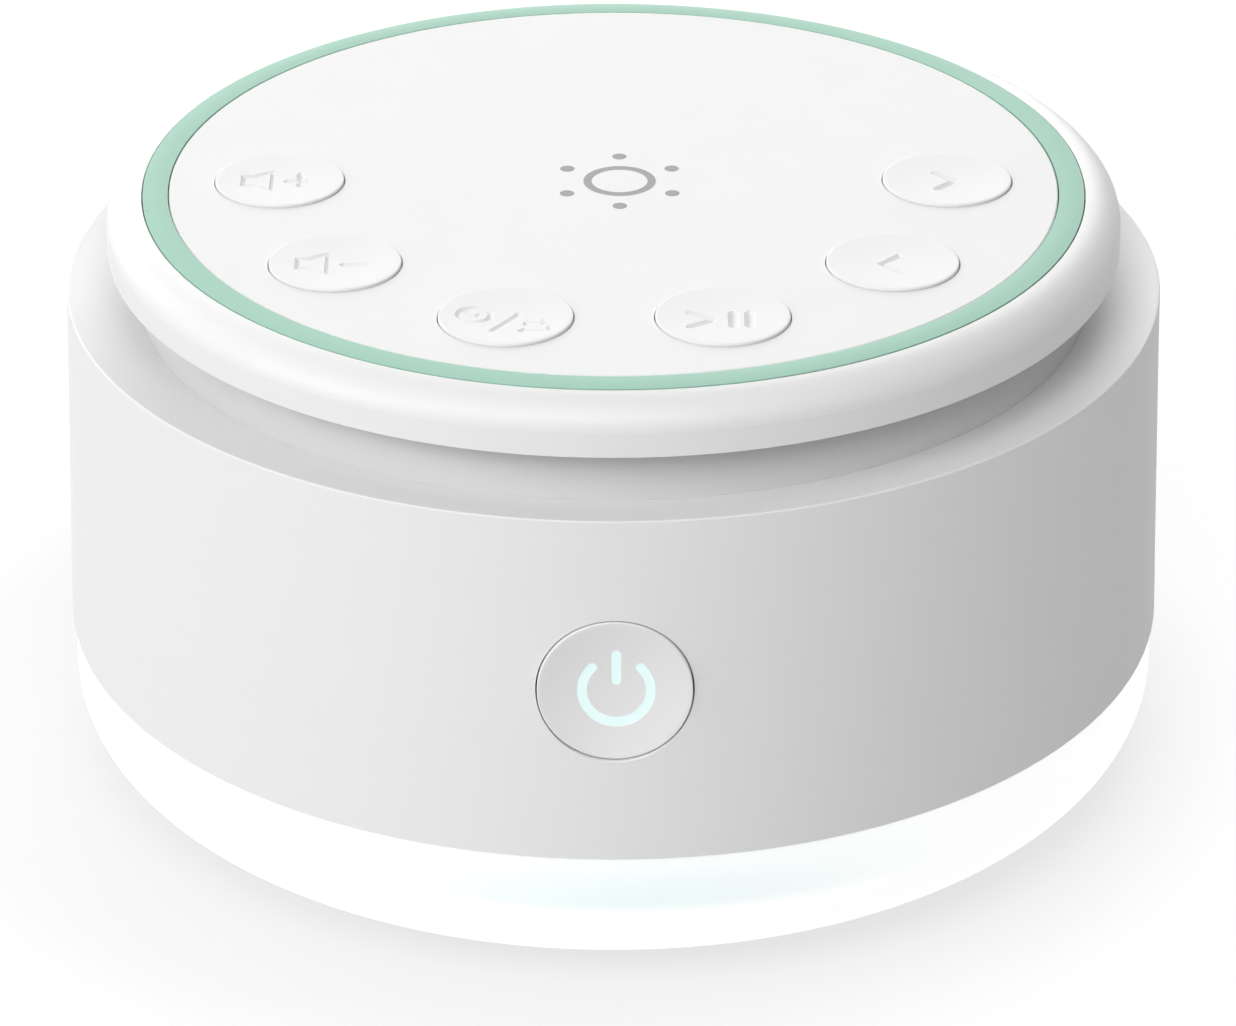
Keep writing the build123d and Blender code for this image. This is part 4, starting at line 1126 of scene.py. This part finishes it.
@dataclass
class FlexRing:
    """Soft ring between the moving cone and the still basket, made in sectors."""

    shop: Workshop
    node: str
    finish: Finish
    slot: str
    outline: list[Point2]
    still_radius: float
    moving_radius: float
    sectors: int = 12
    sector_segments: int = 10

    def build(self) -> None:
        """Make the sectors, on no body, in place of the node."""
        turn = math.tau / self.sectors
        for number in range(self.sectors):
            bearing = turn * number
            shape = spun(self.outline, self.sector_segments, closed=True, turn=turn)
            bmesh.ops.transform(shape, matrix=Matrix.Rotation(bearing - turn / 2, 4, "Z"), verts=shape.verts)
            piece = finished(f"{self.node}_{number + 1:02d}", shape)
            self.shop.add(piece, self.finish, None, self.slot, (self.node,))
            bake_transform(piece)


@dataclass
class Speaker(Assembly):
    """Upward-firing speaker inside the collar."""

    dressing = {
        "speaker_frame": BASKET_PAINT, "speaker_yoke": POLE_STEEL, "speaker_front_plate": POLE_STEEL,
        "speaker_magnet": MAGNET_FERRITE, "speaker_voice_coil": COIL_COPPER, "speaker_cone": CONE_PAPER,
        "speaker_dust_cap": CONE_PAPER, "speaker_gasket": SOFT_BLACK, "speaker_screws": SCREW_STEEL,
        "speaker_leads": LEAD_RED,
    }
    surround_lips: Point2 = (18.2, 22.9)
    roll_centre: float = 20.3
    roll_radius: float = 1.3
    surround_thickness: float = 0.4
    spider_radii: Point2 = (7.07, 13.4)
    spider_edge: float = 14.8
    spider_waves: int = 4
    spider_height: float = 0.5
    spider_thickness: float = 0.3
    spider_grip: float = 0.3
    roll_steps: int = 16
    wave_steps: int = 8

    def make(self) -> None:
        """Make the two rings that bend."""
        roll, reach = self.roll_centre, self.roll_radius
        inner, outer = self.spider_radii
        for ring in (
            ("speaker_surround", SOFT_BLACK, "surround_rubber", self.surround_outline(), roll + reach, roll - reach),
            ("speaker_spider", SPIDER_CLOTH, "spider_cloth", self.spider_outline(), outer, inner + self.spider_grip),
        ):
            FlexRing(self.shop, *ring).build()

    def surround_outline(self) -> list[Point2]:
        """Section of the rubber half-roll with its two glued lips, as points of radius and height."""
        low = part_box("speaker_surround")[0].z / MM
        high = low + self.surround_thickness
        inner, outer = self.surround_lips
        under, over = self.roll_radius, self.roll_radius + self.surround_thickness
        lift = math.degrees(math.asin(self.surround_thickness / over))
        below = arc_points((self.roll_centre, low), (under, under), 180, 0, self.roll_steps)
        above = arc_points((self.roll_centre, low), (over, over), lift, 180 - lift, self.roll_steps)
        return [(inner, low), *below, (outer, low), (outer, high), *above, (inner, high)]

    def spider_outline(self) -> list[Point2]:
        """Section of the corrugated damper, as points of radius and height."""
        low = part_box("speaker_spider")[0].z / MM
        inner, outer = self.spider_radii
        count = self.spider_waves * self.wave_steps
        lower = []
        for number in range(count + 1):
            rise = (1 - math.cos(math.tau * number / self.wave_steps)) / 2 * self.spider_height
            lower.append((inner + (outer - inner) * number / count, low + rise))
        lower.append((self.spider_edge, low))
        return lower + [(radius, height + self.spider_thickness) for radius, height in reversed(lower)]


# ---- Studio ----
@dataclass(frozen=True)
class Softbox:
    """One large square area lamp, aimed at a point on the machine."""

    name: str
    place: Point3
    power: float
    side: float = 1000.0
    aim: Point3 = (0.0, 0.0, 35.0)

    def build(self) -> None:
        """Hang the lamp."""
        data = bpy.data.lights.new(self.name, "AREA")
        data.shape = "SQUARE"
        data.size = self.side * MM
        data.energy = self.power
        lamp = bpy.data.objects.new(self.name, data)
        lamp.location = Vector(self.place) * MM
        lamp.rotation_euler = (Vector(self.place) - Vector(self.aim)).to_track_quat("Z", "Y").to_euler()
        bpy.context.scene.collection.objects.link(lamp)


@dataclass
class Studio:
    """White table top, white room, softboxes and the camera."""

    camera_distance: float = 472.2
    camera_height: float = 268.3
    camera_pitch_deg: float = 27.50
    camera_bearing_deg: float = -0.15
    focal_length: float = 158.64
    sensor_width: float = 36.0
    shift_x: float = 0.0037
    clip: Point2 = (10.0, 20000.0)
    floor_radius: float = 4000.0
    floor_segments: int = 96
    floor_gap: float = 0.03
    floor_albedo: float = 0.7
    floor_seen_albedo: float = 0.27
    # Painted shadow: the floor's glow to the eye is dimmer near the machine, round a point to its left, and fades up to
    # white far away.
    painted_shadow_near: float = 0.70
    painted_shadow_far: float = 0.80
    painted_shadow_reach: Point2 = (53.0, 77.0)
    painted_shadow_centre: Point3 = (-10.0, 0.0, 0.0)
    painted_shadow_fade_reach: Point2 = (250.0, 900.0)
    room_level: float = 0.15
    softboxes: tuple[Softbox, ...] = (
        Softbox("overhead", (0.0, 0.0, 1435.0), 2.6),
        Softbox("front_high", (-130.0, -890.0, 1107.0), 9.3),
        Softbox("side_left", (-1176.0, -679.0, 510.0), 8.0),
        Softbox("back_low", (0.0, 1358.0, 510.0), 8.8),
        Softbox("back_left", (-960.0, 960.0, 510.0), 4.6),
    )

    def build(self) -> None:
        """Set up the room, the lamps and the camera."""
        bpy.context.scene.view_settings.view_transform = "Standard"
        self.room()
        self.floor()
        for softbox in self.softboxes:
            softbox.build()
        self.camera()

    @staticmethod
    def seen_directly(wiring: Wiring) -> Socket:
        """Mask that is 1 for rays from the camera, and for mirrored and transmitted ones."""
        path = wiring.add("ShaderNodeLightPath").outputs
        either = wiring.math("MAXIMUM", path["Is Camera Ray"], path["Is Glossy Ray"])
        return wiring.math("MAXIMUM", either, path["Is Transmission Ray"])

    def room(self) -> None:
        """White room: full white to the eye, dimmer as a light on the machine."""
        world = bpy.data.worlds.new("room")
        bpy.context.scene.world = world
        world.use_nodes = True
        wiring = Wiring(world.node_tree)
        world.node_tree.nodes.clear()
        level = wiring.mix(self.seen_directly(wiring), grey(self.room_level), grey(1.0))
        background = wiring.add("ShaderNodeBackground", {"Color": level, "Strength": 1.0})
        wiring.add("ShaderNodeOutputWorld", {"Surface": background.outputs[0]})

    def floor(self) -> None:
        """Round white table top that keeps the machine's shadow, adds a painted shadow round the machine in its glow,
        and isn't seen from below.
        """
        shape = bmesh.new()
        bmesh.ops.create_circle(
            shape, cap_ends=True, radius=self.floor_radius * MM, segments=self.floor_segments,
            matrix=Matrix.Translation((0.0, 0.0, -self.floor_gap * MM)),
        )
        table_top = finished("table_top", shape)
        wiring = Surface("table_white")
        seen = self.seen_directly(wiring)
        albedo = wiring.mix(seen, grey(self.floor_albedo), grey(self.floor_seen_albedo))
        # Painted shadow: the glow seen by the eye is dimmer near the machine and rises to white far away.
        centre = Vector(self.painted_shadow_centre) * MM
        away = wiring.add(
            "ShaderNodeVectorMath", {0: wiring.object_coordinates(), 1: centre}, operation="DISTANCE"
        ).outputs["Value"]
        shade = wiring.step(away, *(distance * MM for distance in self.painted_shadow_reach))
        white = wiring.step(away, *(distance * MM for distance in self.painted_shadow_fade_reach))
        painted_shadow_tone = wiring.mix(shade, grey(self.painted_shadow_near), grey(self.painted_shadow_far))
        glow = wiring.mix(seen, grey(0.0), wiring.mix(white, painted_shadow_tone, grey(1.0)))
        below = wiring.add("ShaderNodeNewGeometry").outputs["Backfacing"]
        wiring.coat({
            "Base Color": albedo, "Emission Color": glow, "Emission Strength": 1.0, "Roughness": 1.0,
            "Specular IOR Level": 0.0, "Alpha": wiring.math("SUBTRACT", 1.0, below),
        })
        table_top.data.materials.append(wiring.material)

    def camera(self) -> None:
        """Camera in front of the machine, looking down at it."""
        data = bpy.data.cameras.new("camera")
        data.lens = self.focal_length
        data.sensor_width = self.sensor_width
        data.shift_x = self.shift_x
        data.clip_start, data.clip_end = (distance * MM for distance in self.clip)
        camera = bpy.data.objects.new("camera", data)
        bearing = math.radians(self.camera_bearing_deg)
        across, back = math.sin(bearing) * self.camera_distance, math.cos(bearing) * self.camera_distance
        camera.location = Vector((across, -back, self.camera_height)) * MM
        camera.rotation_euler = (math.radians(90.0 - self.camera_pitch_deg), 0.0, bearing)
        bpy.context.scene.collection.objects.link(camera)
        bpy.context.scene.camera = camera


def main() -> None:
    """Load the frame, and build every sub-assembly and the studio."""
    logging.basicConfig(level=logging.INFO, format="%(name)s: %(message)s")
    for leftover in list(bpy.data.objects):
        bpy.data.objects.remove(leftover)
    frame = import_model()
    shop = Workshop(frame)
    for assembly in (Housing, Cap, TopKeys, PowerKey, PowerInlet, Electronics, Speaker):
        assembly(shop).build()
    Studio().build()


if __name__ == "__main__":
    main()
